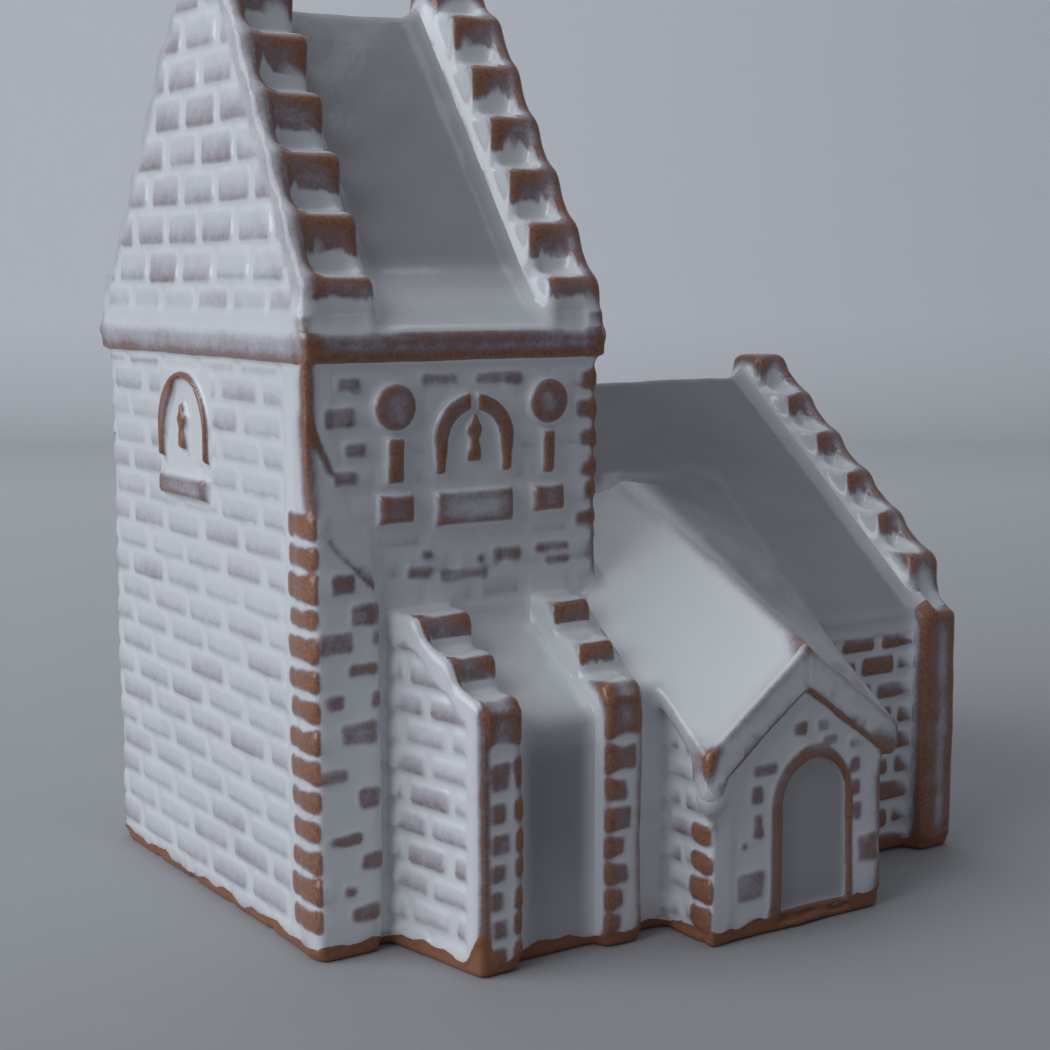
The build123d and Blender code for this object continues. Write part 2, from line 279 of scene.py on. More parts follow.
wall_top = corners("tower_south_wall")[1][2]
tower_low, tower_high = corners("tower_west_wall", "tower_east_wall")
GABLE_LEAN = 0.036            # the tower's west gable leans in by this share of its height
SWEEP_RISE = 6.0              # how far above the walls' heads the roof starts to sweep out to the cornice
CORNICE_LIP = 0.8             # and how far above the cornice it ends
FILLET_REACH = 3.0            # width of the glaze in the corner between a roof and a coping
FILLET_RATE = 0.8             # and how steeply it rises there
GABLE_SWELL = 1.0             # how far the tower's gables stand above its roof
NAVE_SWELL = 0.25             # and the nave's end gable above its own


def coping_fillet(loops, face, way, low, high):
    """Glaze in the corner between a roof and a coping's inner face, which lies along X from the roof."""
    def distance(grid):
        x, y, z = grid
        along = (x - face) * way + FILLET_REACH
        lifted = (polygon(loops, y, z) - along * FILLET_RATE) / math.hypot(1, FILLET_RATE)
        return np.maximum(lifted, np.maximum(-along, along - FILLET_REACH - LAP))

    span = sorted((face - FILLET_REACH * way, face + LAP * way))
    return Solid((span[0], low[1], low[2]), (span[1], high[1], high[2] + FILLET_REACH), distance)


def tower_masses():
    roof_low, roof_high = corners("tower_roof_south", "tower_roof_north")
    middle = (roof_low[1] + roof_high[1]) / 2
    slope = np.array([
        (roof_low[1], wall_top - ROOT), (roof_low[1], wall_top), (middle, roof_high[2]),
        (roof_high[1], wall_top), (roof_high[1], wall_top - ROOT)])
    wall = run_between("tower_west_wall", 0)
    slab = wall[1] - wall[0]
    inward = SWEEP_RISE * (middle - roof_low[1]) / (roof_high[2] - wall_top)
    brow = corners("tower_cornice_south")[1][2] + CORNICE_LIP
    shaft = np.array([
        (tower_low[1], -GROUND), (tower_low[1], brow), (roof_low[1] + inward, wall_top + SWEEP_RISE),
        (roof_high[1] - inward, wall_top + SWEEP_RISE), (tower_high[1], brow), (tower_high[1], -GROUND)])
    masses = [
        prism([shaft], 0, tower_low[0], tower_high[0]),
        prism([slope], 0, tower_low[0] + slab / 2, tower_high[0] - slab / 2),
    ]
    for side in ("west", "east"):
        gable = [prism([slope], 0, *run_between(f"tower_{side}_wall", 0), grow=GABLE_SWELL)]
        steps = []
        for part in ("coping_south", "coping_north", "cap"):
            node = f"tower_{side}_{part}"
            steps += pushed(profile(node, 0), 1, wall_top, -ROOT)
        start, end = run_between(f"tower_{side}_cap", 0)
        gable += [prism([loop], 0, start, end) for loop in steps]
        outer = (start, start + RAIL_WIDTH) if side == "west" else (end - RAIL_WIDTH, end)
        gable.append(rail(steps, wall_top - ROOT, 0, *outer))
        if side == "west":
            gable = [leaning(mass, wall_top, GABLE_LEAN) for mass in gable]
        masses += gable
        face, way = (end, -1) if side == "west" else (start, 1)
        masses.append(coping_fillet([slope], face, way, roof_low, roof_high))
    return masses


def pier_mass():
    low, high = corners("tower_corner_pier")
    points = node_points("tower_corner_pier")
    top = np.unique(points[points[:, 2] > high[2] / 2].round(3), axis=0)
    centre = top.mean(axis=0)
    normal = np.linalg.svd(top - centre)[2][2]
    normal *= np.sign(normal[2])
    return cut_by_plane(block((*low[:2], -GROUND), (high[0], high[1] + ROOT, high[2])), centre, normal)


VALLEY_FILLET = 3.0           # glaze and clay in the valley east of the porch's roof


def nave_masses():
    gable = pushed(profile("nave_east_wall", 0), 1, 0, -GROUND)
    east = corners("nave_east_wall")[1][0]
    coping = run_between("nave_coping_south", 0)
    body = prism(gable, 0, tower_high[0] - ROOT, east)
    porch, _ = porch_roof("east")

    def with_valley(grid):
        return join(body.distance(grid), porch.distance(grid), VALLEY_FILLET)

    masses = [
        Solid(np.minimum(body.low, porch.low), body.high, with_valley),
        prism(gable, 0, *coping, grow=NAVE_SWELL),
    ]
    masses.append(coping_fillet(gable, coping[0], 1, *corners("nave_roof_south", "nave_roof_north")))
    steps = profile("nave_coping_south", 0) + profile("nave_coping_north", 0) + profile("nave_cap", 0)
    masses += [prism([loop], 0, *coping) for loop in steps]
    masses.append(rail(steps, 0, 0, east - RAIL_WIDTH, east))
    for node in ("nave_pilaster_south", "nave_pilaster_north"):
        low, high = corners(node)
        low[2] = -GROUND
        inner = 1 if node.endswith("south") else 0
        (low, high)[inner][1] += ROOT if inner else -ROOT
        masses.append(block(low, high))
    return masses


def porch_roof(side):
    """One half of the porch's roof, whose side edge and ridge rise at their own rates."""
    node = f"porch_roof_{side}"
    points = node_points(node)
    low, high = corners(node)
    edge, ridge = (low[0], high[0]) if side == "west" else (high[0], low[0])

    def top_line(x):
        line = points[abs(points[:, 0] - x) < TOUCH]
        first = line[abs(line[:, 1] - line[:, 1].min()) < TOUCH]
        last = line[abs(line[:, 1] - line[:, 1].max()) < TOUCH]
        start, end = first[first[:, 2].argmax()], last[last[:, 2].argmax()]
        return start, (end[2] - start[2]) / (end[1] - start[1]), first[:, 2].max() - first[:, 2].min()

    edge_start, edge_rate, slab = top_line(edge)
    ridge_start, ridge_rate, _ = top_line(ridge)
    slope = math.hypot(1, (ridge_start[2] - edge_start[2]) / (ridge - edge))

    def surface(x, y):
        share = np.clip((x - edge) / (ridge - edge), 0, 1)
        edge_z = edge_start[2] + (y - edge_start[1]) * edge_rate
        ridge_z = ridge_start[2] + (y - ridge_start[1]) * ridge_rate
        return edge_z + share * (ridge_z - edge_z)

    def above(grid):
        x, y, z = grid
        return (z - surface(x, y)) / slope

    def distance(grid):
        x, y, _ = grid
        top = above(grid)
        sides = np.maximum(low[0] - x, x - high[0])
        ends = np.maximum(low[1] - y, y - high[1])
        return np.maximum(np.maximum(top, -top - slab / slope), np.maximum(sides, ends))

    return Solid(low, high, distance), above


def porch_masses():
    low, high = corners("porch_west_wall", "porch_east_wall", "porch_south_wall")
    masses = []
    for side in ("west", "east"):
        roof, above = porch_roof(side)
        span = (low[0], roof.high[0] + LAP) if side == "west" else (roof.low[0] - LAP, high[0])
        walls = block((span[0], low[1], -GROUND), (span[1], high[1] + ROOT, roof.high[2]))

        def body(grid, walls=walls, above=above):
            return np.maximum(walls.distance(grid), above(grid) + LAP)

        masses += [Solid(walls.low, walls.high, body), roof]
    return masses


FILL_DROP = 0.4               # how far the fill beside the stair house lies below the porch's roof


def valley_fill():
    """Clay and glaze that fill the slot between the stair house and the porch's roof."""
    roof, above = porch_roof("west")
    low, high = corners("stair_infill")
    fill = block((low[0] - 2 * LAP, low[1], low[2] - GROUND),
                 (high[0] + 2 * LAP, high[1] + ROOT, roof.high[2]))

    def distance(grid):
        return np.maximum(fill.distance(grid), above(grid) + FILL_DROP)

    return Solid(fill.low, fill.high, distance)


DRIP_SIZE = np.array((2.7, 2.5, 3.6))
DRIP_SHIFT = (0.2, -0.1, -2.5)   # from the wall's corner, at the height of the bargeboard's lower end


def glaze_drip():
    """The blob of glaze that hangs under the end of the porch's west bargeboard."""
    board = corners("porch_bargeboard_west")[0]
    corner = corners("porch_south_wall")[0]
    centre = np.array((corner[0], corner[1], board[2])) + DRIP_SHIFT

    def distance(grid):
        across = [(grid[i] - centre[i]) / DRIP_SIZE[i] for i in range(3)]
        return (np.sqrt(sum(part * part for part in across)) - 1) * DRIP_SIZE.min()

    return Solid(centre - DRIP_SIZE, centre + DRIP_SIZE, distance)


STAIR_RAIL = 1.3              # width of the rim on the stair house's west parapet


def stair_masses():
    back = corners("stair_east_parapet")[1][1]
    masses = []
    for node in ("stair_east_parapet", "stair_infill"):
        loops = pushed(pushed(profile(node, 0), 0, back, ROOT), 1, 0, -GROUND)
        masses.append(prism(loops, 0, *run_between(node, 0)))
    node = "stair_west_parapet"
    points = node_points(node)
    low, high = corners(node)
    loops = pushed(pushed(profile(node, 0, far_end=True), 0, back, ROOT), 1, 0, -GROUND)
    rear = points[abs(points[:, 1] - high[1]) < TOUCH, 0].min()
    front = points[abs(points[:, 1] - low[1]) < TOUCH, 0].min()
    skew = np.array((low[1] - high[1], rear - front, 0))
    skew /= np.linalg.norm(skew)
    masses.append(cut_by_plane(prism(loops, 0, low[0] - ROOT, high[0]), (rear, high[1], 0), skew))
    edge = cut_by_plane(rail(loops, 0, 0, low[0] - ROOT, high[0]), (rear, high[1], 0), skew)
    masses.append(cut_by_plane(edge, (rear + STAIR_RAIL, high[1], 0), -skew))
    inner = (high[0] - LAP, corners("stair_east_parapet")[0][0] + LAP)
    masses.append(prism(pushed(profile("stair_roof", 0), 0, back, ROOT), 0, *inner))
    panel = pushed(profile("stair_front_panel", 0), 1, 0, -GROUND)
    masses.append(prism(panel, 0, *inner))
    return masses


CORNICE_SPLAY = 3.4           # how far the cornice's sloping top runs up the gables
CORNICE_STOP = 2.6            # how far the west band stops short of the south-west corner
CORNICE_ROUND = 0.4           # rounding of the band's edges
CORNICE_FILLET = 1.5          # and between it and the sloping top
RELIEF_ROUND = 0.5            # rounding of the thin work's edges


def cornice_relief(node):
    """A band of the cornice, rooted in the wall behind it, with a sloping top."""
    side = node.rsplit("_", 1)[1]
    axis = 0 if side in ("south", "north") else 1
    low, high = corners(node)
    near_side = side in ("south", "west")
    wall = (tower_low if near_side else tower_high)[1 - axis]
    outer = (low if near_side else high)[1 - axis]
    inward = ROOT if near_side else -ROOT
    splay = CORNICE_LIP if axis == 0 else CORNICE_SPLAY
    slope = np.array([(outer + inward / 8, high[2] - LAP), (wall, high[2] + splay),
                      (wall + inward, high[2] + splay), (wall + inward, high[2] - LAP)])
    run = run_between(node, axis)
    if side == "west":
        run = (run[0] + CORNICE_STOP, run[1])
    band = prism(pushed(profile(node, axis), 0, wall, inward), axis, *run, rounding=CORNICE_ROUND)
    top = prism([slope], axis, *run, rounding=0.3)

    def distance(grid):
        return join(band.distance(grid), top.distance(grid), CORNICE_FILLET)

    return Solid(band.low, band.high + (0, 0, CORNICE_SPLAY), distance)


def raised(flat, axis, low, high):
    """Relief of a flat shape that stands out from a wall on its west or south face."""
    def distance(grid):
        u, z = grid[1 - axis], grid[2]
        along = grid[axis]
        ends = np.maximum(low[axis] - along, along - high[axis] - ROOT)
        return meet(flat(u, z), ends, RELIEF_ROUND)

    return Solid(low, high, distance)


def arch_relief(node, axis):
    """A window's head in two arcs, thickest at the shoulders. The south one's stop short at the crown, and
    the west one's are thin but for the north shoulder."""
    low, high = corners(node)
    middle = (low[1 - axis] + high[1 - axis]) / 2
    radius = (high[1 - axis] - low[1 - axis]) / 2
    spring = high[2] - radius
    foot_half, shoulder_half, crown_gap = 0.75, 1.5, 0.6
    thin_half = 0.45

    def flat(u, z):
        across = abs(u - middle)
        ring = np.where(z > spring, np.hypot(across, z - spring), across + 0 * z)
        half = foot_half + (shoulder_half - foot_half) * ease(z, low[2], spring + radius / 3)
        if axis == 0:
            thick = ease(u - middle, radius / 4, radius / 2)
            half = thin_half + (half - thin_half) * thick
            return np.maximum(abs(ring - radius + half) - half, low[2] - z)
        band = abs(ring - radius + shoulder_half) - half
        return np.maximum(np.maximum(band, low[2] - z), np.where(z > spring, crown_gap - across, -radius))

    return raised(flat, axis, low, high)


MULLION_SHARES = [             # half its outline from the foot up, in shares of its width and height
    (0.42, 0.0), (0.40, 0.2), (0.26, 0.42), (0.5, 0.58), (0.5, 0.70), (0.28, 0.78), (0.16, 0.92), (0.0, 1.0)]


def mullion_relief(node, axis):
    """A slim upright with a short cross-piece and a pointed head."""
    low, high = corners(node)
    middle = (low[1 - axis] + high[1 - axis]) / 2
    size = high - low
    halves = MULLION_SHARES + [(-u, v) for u, v in MULLION_SHARES[-2::-1]]
    outline = np.array([(middle + u * size[1 - axis], low[2] + v * size[2]) for u, v in halves])
    return raised(lambda u, z: polygon([outline], u, z), axis, low, high)


def lancet_relief(node):
    """A roundel above a short stem that doesn't quite reach it."""
    low, high = corners(node)
    middle = (low[0] + high[0]) / 2
    radius = (high[0] - low[0]) / 2
    centre = high[2] - radius
    stem_half, gap = (1.4 if "west" in node else 1.05), 1.5

    def flat(u, z):
        disc = np.hypot(u - middle, z - centre) - radius
        stem = np.maximum(abs(u - middle) - stem_half, np.maximum(low[2] - z, z - centre + radius + gap))
        return np.minimum(disc, stem)

    return raised(flat, 1, low, high)


BOARD_DROP = 1.2              # how far the bargeboards' lower edges run down over the wall
SILL_INSET = 0.5              # how far the sills' skin lies inside their solids
SILL_ROUND = 0.8


def lowered_board(node):
    """A bargeboard's outline, with its lower edge run down a little."""
    board = profile(node, 1)[0]
    slope = np.polyfit(board[:, 0], board[:, 1], 1)
    lower = board[:, 1] < np.polyval(slope, board[:, 0])
    board[lower, 1] -= BOARD_DROP
    return board


def bargeboard_relief(node):
    """One of the plain boards on the porch's gable, with a rounded lower end."""
    start, end = run_between(node, 1)
    return prism([lowered_board(node)], 1, start, end + ROOT, rounding=RELIEF_ROUND)


def relief_masses():
    """Thin work on the faces: cornice, windows, sills and lancets, and the porch's bargeboards."""
    masses = {}
    for node in sorted(frame["nodes"]):
        axis = 1 if "south" in node or "lancet" in node else 0
        if "cornice" in node:
            masses[node] = cornice_relief(node)
        elif "window_arch" in node:
            masses[node] = arch_relief(node, axis)
        elif "mullion" in node:
            masses[node] = mullion_relief(node, axis)
        elif "sill" in node:
            start, end = run_between(node, axis)
            masses[node] = prism(profile(node, axis), axis, start, end + ROOT, -SILL_INSET, SILL_ROUND)
        elif "bargeboard" in node:
            masses[node] = bargeboard_relief(node)
        elif "lancet" in node:
            masses[node] = lancet_relief(node)
    return masses


CORNER_STRIP = 1.5            # narrow strip that runs up the tower's corner above the pier
PORCH_STRIP = 4.6             # and the one at the porch's corner
STRIP_OUT = 0.25              # how far both stand out


def strip_relief(low, high):
    """A narrow strip that stands out a little from a south face."""
    box = np.array([(low[0], low[2]), (high[0], low[2]), (high[0], high[2]), (low[0], high[2])])
    return prism([box], 1, low[1], high[1], rounding=0.3)


def corner_strips():
    foot = corners("tower_corner_pier")[0][2]
    cornice = corners("tower_cornice_south")[0][2]
    porch = corners("porch_south_wall")[0]
    eave = corners("porch_bargeboard_west")[0][2]
    return [
        strip_relief((tower_low[0], tower_low[1] - STRIP_OUT, foot),
                     (tower_low[0] + CORNER_STRIP, tower_low[1] + ROOT, cornice)),
        strip_relief((porch[0], porch[1] - STRIP_OUT, -GROUND),
                     (porch[0] + PORCH_STRIP, porch[1] + ROOT, eave)),
    ]


QUOIN_OUT = 0.12              # how far the corner blocks stand out
QUOIN_BACK = 0.5              # and how far they lie behind the south face
QUOIN_ROUND = 1.0
QUOIN_WANDER = 0.12           # how much their lengths differ, as a share
QUOIN_SEED = 5
QUOIN_TONE = 0.30
QUOIN_CALM = 2.5              # distance from the corner within which the glaze between them is thick
QUOIN_SWELL = 0.45            # how far glaze and clay swell out over them


def quoin_relief(corner, first, pitch, rows, reach, gap):
    """A column of rounded blocks up a south-west corner, which stand out of its west face."""
    def distance(grid):
        row = np.clip(np.round((grid[2] - first) / pitch), 0, rows - 1)
        wander = QUOIN_WANDER * (scatter(row, 0, QUOIN_SEED) - 0.5)
        middle = (corner[0] + reach[0] / 2, corner[1] + QUOIN_BACK + reach[1] / 2)
        sides = [abs(grid[i] - middle[i]) - reach[i] * (0.5 + wander) - QUOIN_OUT + QUOIN_ROUND
                 for i in (0, 1)]
        height = pitch - gap - scatter(row, 1, QUOIN_SEED)
        up = abs(grid[2] - first - row * pitch) - height / 2 + QUOIN_ROUND
        outside = np.sqrt(sum(np.maximum(part, 0) ** 2 for part in (*sides, up)))
        return outside + np.minimum(np.maximum(np.maximum(*sides), up), 0) - QUOIN_ROUND

    low = np.array((corner[0], corner[1], first - pitch))
    return Solid(low - QUOIN_OUT, low + (*reach, (rows + 1) * pitch), distance)


def corner_quoins():
    pier = corners("tower_corner_pier")[0]
    porch = corners("porch_south_wall")[0]
    return [
        quoin_relief(pier, 6.9, 4.97, 14, (2.8, 8.2), 1.2),
        quoin_relief(porch, 4.9, 4.75, 4, (2.6, 4.4), 0.9),
    ]


def pier_head():
    """Corners of the pier's raking face: front outer and inner, then back inner and outer."""
    front = profile("tower_corner_pier", 1)[0]
    back = profile("tower_corner_pier", 1, far_end=True)[0]
    low, high = corners("tower_corner_pier")
    return [max((p for p in ring if abs(p[0] - x) < TOUCH), key=lambda p: p[1])
            for ring, x in ((front, low[0]), (front, high[0]), (back, high[0]), (back, low[0]))]


def pier_facet():
    """The smooth raking face on the pier's head, as a shape drawn along Y."""
    low, high = corners("tower_corner_pier")
    return prism([np.array(pier_head())], 1, low[1] - ROOT, high[1] + ROOT)


def door_recess():
    start, _ = run_between("porch_door", 1)
    foot = corners("porch_door")[0][2]
    return prism(pushed(profile("porch_door", 1), 1, foot, -foot / 2), 1, start - GROUND, start)


bodies = tower_masses() + [pier_mass()] + nave_masses() + porch_masses() + stair_masses() + [valley_fill()]
reliefs = relief_masses()
quoins = corner_quoins()
drip = glaze_drip()
strips = corner_strips() + quoins + [drip]
recess = door_recess()


# The CAD solids as distances, for cutting the skin into pieces

def region(node):
    if node.startswith("porch_roof"):
        return porch_roof(node.rsplit("_", 1)[1])[0]
    along_y = (
        node.startswith(("porch_south", "porch_door", "porch_bargeboard", "tower_south_window"))
        or "lancet" in node or node in ("tower_cornice_west", "tower_cornice_east", "tower_corner_pier"))
    axis = 1 if along_y else 0
    far_end = node in ("tower_corner_pier", "stair_west_parapet")
    return prism(profile(node, axis, far_end), axis, *run_between(node, axis))


regions = {node: region(node) for node in sorted(frame["nodes"])}


# Brick courses

MORTAR = 1.8                  # width of the joints between bricks
BRICK_ROUND = 0.7
SOFT_START = 1.5              # length over which a course rises out of the plain wall


# Kinds of brickwork: the bricks' pitch up and along, where a course begins, how far the glaze thins on the
# bricks' faces and how far on their edges, the joints' depth, the upright joints' and the beds' width, and
# the rounding of the bricks' corners
SMALL_BRICKS = dict(course=5.0, length=9.8, base=0.0, tone=0.12, breaks=0.5, depth=0.55,
                    joint=MORTAR, bed=MORTAR, rounding=BRICK_ROUND)
PORCH_BRICKS = dict(SMALL_BRICKS, course=4.8, length=9.5, base=2.5)
BROAD_BRICKS = dict(SMALL_BRICKS, length=16.0, depth=0.42, joint=2.5, bed=1.2, rounding=1.1)
GABLE_BRICKS = dict(BROAD_BRICKS, course=6.6, length=14.2, base=3.7, depth=0.45, bed=1.4)
ROW_WANDER = 0.12             # how far a course is shifted along, as a share of a brick's length
BRICK_WANDER = (0.7, 0.5, 0.4, 0.3)  # how much bricks differ in place along and up, in length and in height
JOINT_EDGE = (-0.35, 0.55)    # from where to where, across a brick's outline, its face falls into the joint
FACE_FALL = 1.2               # how much darker a brick's face is at its lower edge than at its upper one
QUOIN_CLEAR = 9.6             # where the west wall's bricks begin, beside the quoins
NAVE_FRIEZE = 2.6             # height without bricks below the nave's eaves
BRICK_TILT = 0.6              # how much of a joint's depth a brick's upper edge lies back


def mortar_depth(work, u, z):
    """How deep the joints lie below the bricks' faces at points on a wall, and where the faces are."""
    row = np.floor((z - work.base) / work.course)
    shift = work.length * (0.5 * np.mod(row, 2) + ROW_WANDER * (scatter(row, 0, work.seed) - 0.5))
    column = np.floor((u + shift) / work.length)
    wander = [size * (scatter(row, column, work.seed + k) - 0.5) for k, size in enumerate(BRICK_WANDER)]
    across = abs(u + shift - (column + 0.5) * work.length - wander[0])
    rise = z - work.base - (row + 0.5) * work.course
    up = abs(rise - wander[1])
    half_length = (work.length - work.joint) / 2 + wander[2] - work.rounding
    half_height = (work.course - work.bed) / 2 + wander[3] - work.rounding
    beyond = np.hypot(np.maximum(across - half_length, 0), np.maximum(up - half_height, 0)) - work.rounding
    joint = ease(beyond, *JOINT_EDGE)
    rise = rise / work.course
    depth = work.depth * (joint + (1 - joint) * BRICK_TILT * (rise + 0.5))
    return depth, (1 - joint) * (1 + 2 * wander[3] - FACE_FALL * rise)


def brickwork():
    """The courses on every wall, each inside a box about its face."""
    cornice_low, cornice_high = corners("tower_cornice_west")
    corner = corners("tower_corner_pier")[0][1]
    west_low, west_high = corners("stair_west_parapet")
    porch_low, porch_high = corners("porch_west_wall", "porch_east_wall", "porch_south_wall")
    nave_low, nave_high = corners("nave_south_wall", "nave_north_wall", "nave_east_wall")
    eave = corners("nave_south_wall")[1][2] - NAVE_FRIEZE
    ground, reach, clear = -1.0, 1.5, 0.6
    frieze = cornice_low[2] - clear
    gable = cornice_high[2] + clear
    works = []

    def lay(axis, low, high, bricks, **looks):
        box = dict(axis=axis, low=np.array(low), high=np.array(high), seed=len(works) + 1)
        works.append(SimpleNamespace(**{**bricks, **looks, **box}))

    lay(0, (tower_low[0] - reach, corner + QUOIN_CLEAR, ground),
        (tower_low[0] + reach, tower_high[1] + reach, frieze), BROAD_BRICKS,
        base=-0.6, tone=0.10, breaks=0.15)
    lay(1, (tower_low[0] + 3 * reach, tower_low[1] - clear, ground),
        (tower_high[0] - reach, tower_low[1] + clear, frieze), SMALL_BRICKS,
        base=1.1, tone=0.09, breaks=0.8, depth=0.2)
    lay(0, (tower_high[0] - reach, tower_low[1] - reach, ground),
        (tower_high[0] + reach, tower_high[1] + reach, frieze), BROAD_BRICKS)
    lay(0, (tower_low[0] - reach, tower_low[1] - reach, gable),
        (tower_low[0] + 2 * reach, tower_high[1] + reach, tower_high[2]), GABLE_BRICKS,
        tone=0.125, breaks=0.3)
    lay(0, (tower_high[0] - reach, tower_low[1] - reach, gable),
        (tower_high[0] + reach, tower_high[1] + reach, tower_high[2]), GABLE_BRICKS)
    lay(1, (tower_low[0] - reach, tower_high[1] - reach, ground),
        (tower_high[0] + reach, tower_high[1] + reach, frieze), SMALL_BRICKS)
    lay(0, (west_low[0] - reach, west_low[1] - reach, ground),
        (west_low[0] + 3 * reach, west_high[1], west_high[2]), SMALL_BRICKS, length=10.6, breaks=0.6)
    lay(0, (porch_low[0] - reach, porch_low[1] - reach, ground),
        (porch_low[0] + reach, porch_high[1], porch_high[2]), PORCH_BRICKS, breaks=0.7)
    lay(0, (porch_high[0] - reach, porch_low[1] - reach, ground),
        (porch_high[0] + reach, porch_high[1], porch_high[2]), PORCH_BRICKS)
    # the nave's south wall between the porch and the pilaster: brown bricks, darker partly as painted shade
    lay(1, (porch_high[0] + clear, nave_low[1] - 4 * reach, ground),
        (nave_high[0] + reach, nave_low[1] + reach, eave), SMALL_BRICKS, tone=0.22, breaks=0.8)
    lay(1, (tower_high[0], nave_high[1] - reach, ground),
        (nave_high[0] + reach, nave_high[1] + 4 * reach, eave), SMALL_BRICKS)
    lay(0, (nave_high[0] - reach, nave_low[1] - 4 * reach, ground),
        (nave_high[0] + reach, nave_high[1] + 4 * reach, nave_high[2]), BROAD_BRICKS)
    return works


# Loose bricks on the south faces: along and up from the face's lower west corner, width and height
TOWER_SOUTH_BRICKS = [
    (7.9, 93.7, 4.2, 2.4), (6.0, 88.4, 5.4, 3.4), (8.6, 83.2, 4.2, 2.6), (6.8, 78.9, 4.6, 2.4),
    (24.5, 94.2, 7.0, 2.3), (36.2, 94.1, 9.5, 2.2), (54.8, 93.2, 3.6, 3.2), (54.4, 88.0, 4.6, 3.0),
    (54.8, 83.1, 3.8, 3.0), (55.0, 77.9, 3.6, 2.6), (55.6, 74.0, 3.2, 2.7), (54.3, 69.2, 4.4, 2.3),
    (37.8, 64.3, 5.7, 2.6), (47.1, 64.8, 7.4, 2.0), (48.3, 62.4, 4.7, 1.6), (22.1, 65.2, 2.6, 1.9),
    (32.4, 63.8, 1.8, 1.8), (20.4, 62.4, 4.9, 2.3), (29.2, 61.4, 9.4, 1.9)]
PORCH_SOUTH_BRICKS = [
    (19.0, 35.0, 3.0, 2.6), (24.3, 35.0, 2.8, 2.4), (25.9, 32.2, 3.4, 1.8), (31.9, 31.0, 3.0, 2.2),
    (11.6, 28.8, 5.4, 2.2), (9.8, 25.1, 2.6, 3.4), (9.9, 19.6, 2.6, 4.4), (7.2, 16.5, 1.6, 1.5),
    (8.6, 9.3, 6.4, 5.2), (32.2, 27.0, 2.4, 2.7), (32.6, 22.8, 2.0, 3.0), (32.9, 18.5, 2.0, 3.4),
    (35.2, 11.5, 4.8, 4.8)]
PIER_BRICKS = [
    (5.0, 62.0, 4.5, 3.4), (8.9, 57.0, 5.5, 3.6), (3.6, 52.8, 6.0, 3.6), (11.0, 53.0, 1.6, 2.6),
    (8.6, 48.0, 5.5, 2.2), (3.3, 43.0, 3.5, 2.6), (11.0, 43.0, 1.5, 2.6), (7.8, 37.6, 7.0, 3.8),
    (3.0, 31.0, 5.0, 2.4), (9.4, 26.6, 4.0, 3.6), (4.7, 20.2, 6.0, 2.0), (9.7, 16.2, 4.4, 3.0),
    (5.8, 11.3, 2.6, 2.0), (8.6, 7.5, 5.5, 2.6)]
WEST_PARAPET_BRICKS = [
    (3.2, 3.2, 2.4, 3.2), (7.4, 3.4, 2.2, 3.2), (3.4, 7.9, 2.8, 3.3), (7.3, 8.2, 2.4, 3.0),
    (3.1, 12.6, 2.2, 3.4), (7.4, 12.4, 2.2, 3.2), (3.4, 17.0, 2.8, 3.2), (7.4, 17.4, 2.2, 3.0),
    (3.6, 21.8, 3.4, 3.6), (7.5, 21.8, 2.0, 3.2), (3.2, 26.8, 2.6, 3.6), (7.4, 27.0, 2.4, 3.2),
    (3.6, 32.6, 3.4, 4.6), (7.4, 32.8, 2.4, 4.6), (4.6, 40.4, 7.4, 5.4)]
EAST_PARAPET_BRICKS = [
    (1.7, 4.4, 2.9, 3.0), (1.9, 8.5, 3.3, 3.3), (2.4, 12.9, 4.2, 3.5), (2.1, 17.4, 3.7, 3.3),
    (2.7, 22.0, 4.8, 3.8), (2.2, 27.1, 3.9, 3.6), (3.1, 32.4, 5.7, 4.4), (3.8, 39.4, 7.0, 6.4)]
LOOSE_RAISE = 0.3             # how far these bricks stand out
LOOSE_TONE = 0.18             # how much thinner the glaze is on them
LINE_TONE = 0.32              # and on fine edges
FACE_NEAR = 1.2               # how far from a face's plane its skin can lie


def front_corner(node):
    """Where a parapet's front meets its west face."""
    points = node_points(node)
    front = points[:, 1].min()
    return points[abs(points[:, 1] - front) < TOUCH, 0].min(), front


brick_faces = (
    (tower_low, TOWER_SOUTH_BRICKS),
    (corners("porch_south_wall")[0], PORCH_SOUTH_BRICKS),
    (corners("tower_corner_pier")[0], PIER_BRICKS),
    (front_corner("stair_west_parapet"), WEST_PARAPET_BRICKS),
    (front_corner("stair_east_parapet"), EAST_PARAPET_BRICKS),
)


def loose_bricks(x, y, z, facing):
    """How far single bricks stand out of the south faces."""
    cover = np.zeros(len(x), np.float32)
    for corner, bricks in brick_faces:
        here = np.flatnonzero((facing > 0) & (abs(y - corner[1]) < FACE_NEAR))
        if not len(here):
            continue
        u, v = x[here], z[here]
        wander = 0.2 * ripple(u, y[here], v, 6.0, 76)
        shown = np.zeros(len(here), np.float32)
        for along, up, width, height in bricks:
            across = abs(u - corner[0] - along) - width / 2 + BRICK_ROUND
            rise = abs(v - up) - height / 2 + BRICK_ROUND
            beyond = np.hypot(np.maximum(across, 0), np.maximum(rise, 0)) - BRICK_ROUND
            shown = np.maximum(shown, 1 - ease(beyond + wander, -0.5, 0.6))
        cover[here] = np.maximum(cover[here], shown * facing[here])
    return cover


def line_cover(x, z, start, end, width):
    """Where a thin line from one point to another lies on a south face."""
    du, dv = end[0] - start[0], end[1] - start[1]
    share = np.clip(((x - start[0]) * du + (z - start[1]) * dv) / (du * du + dv * dv), 0, 1)
    away = np.hypot(x - start[0] - share * du, z - start[1] - share * dv)
    return 1 - ease(away, width / 2 - 0.25, width / 2 + 0.35)


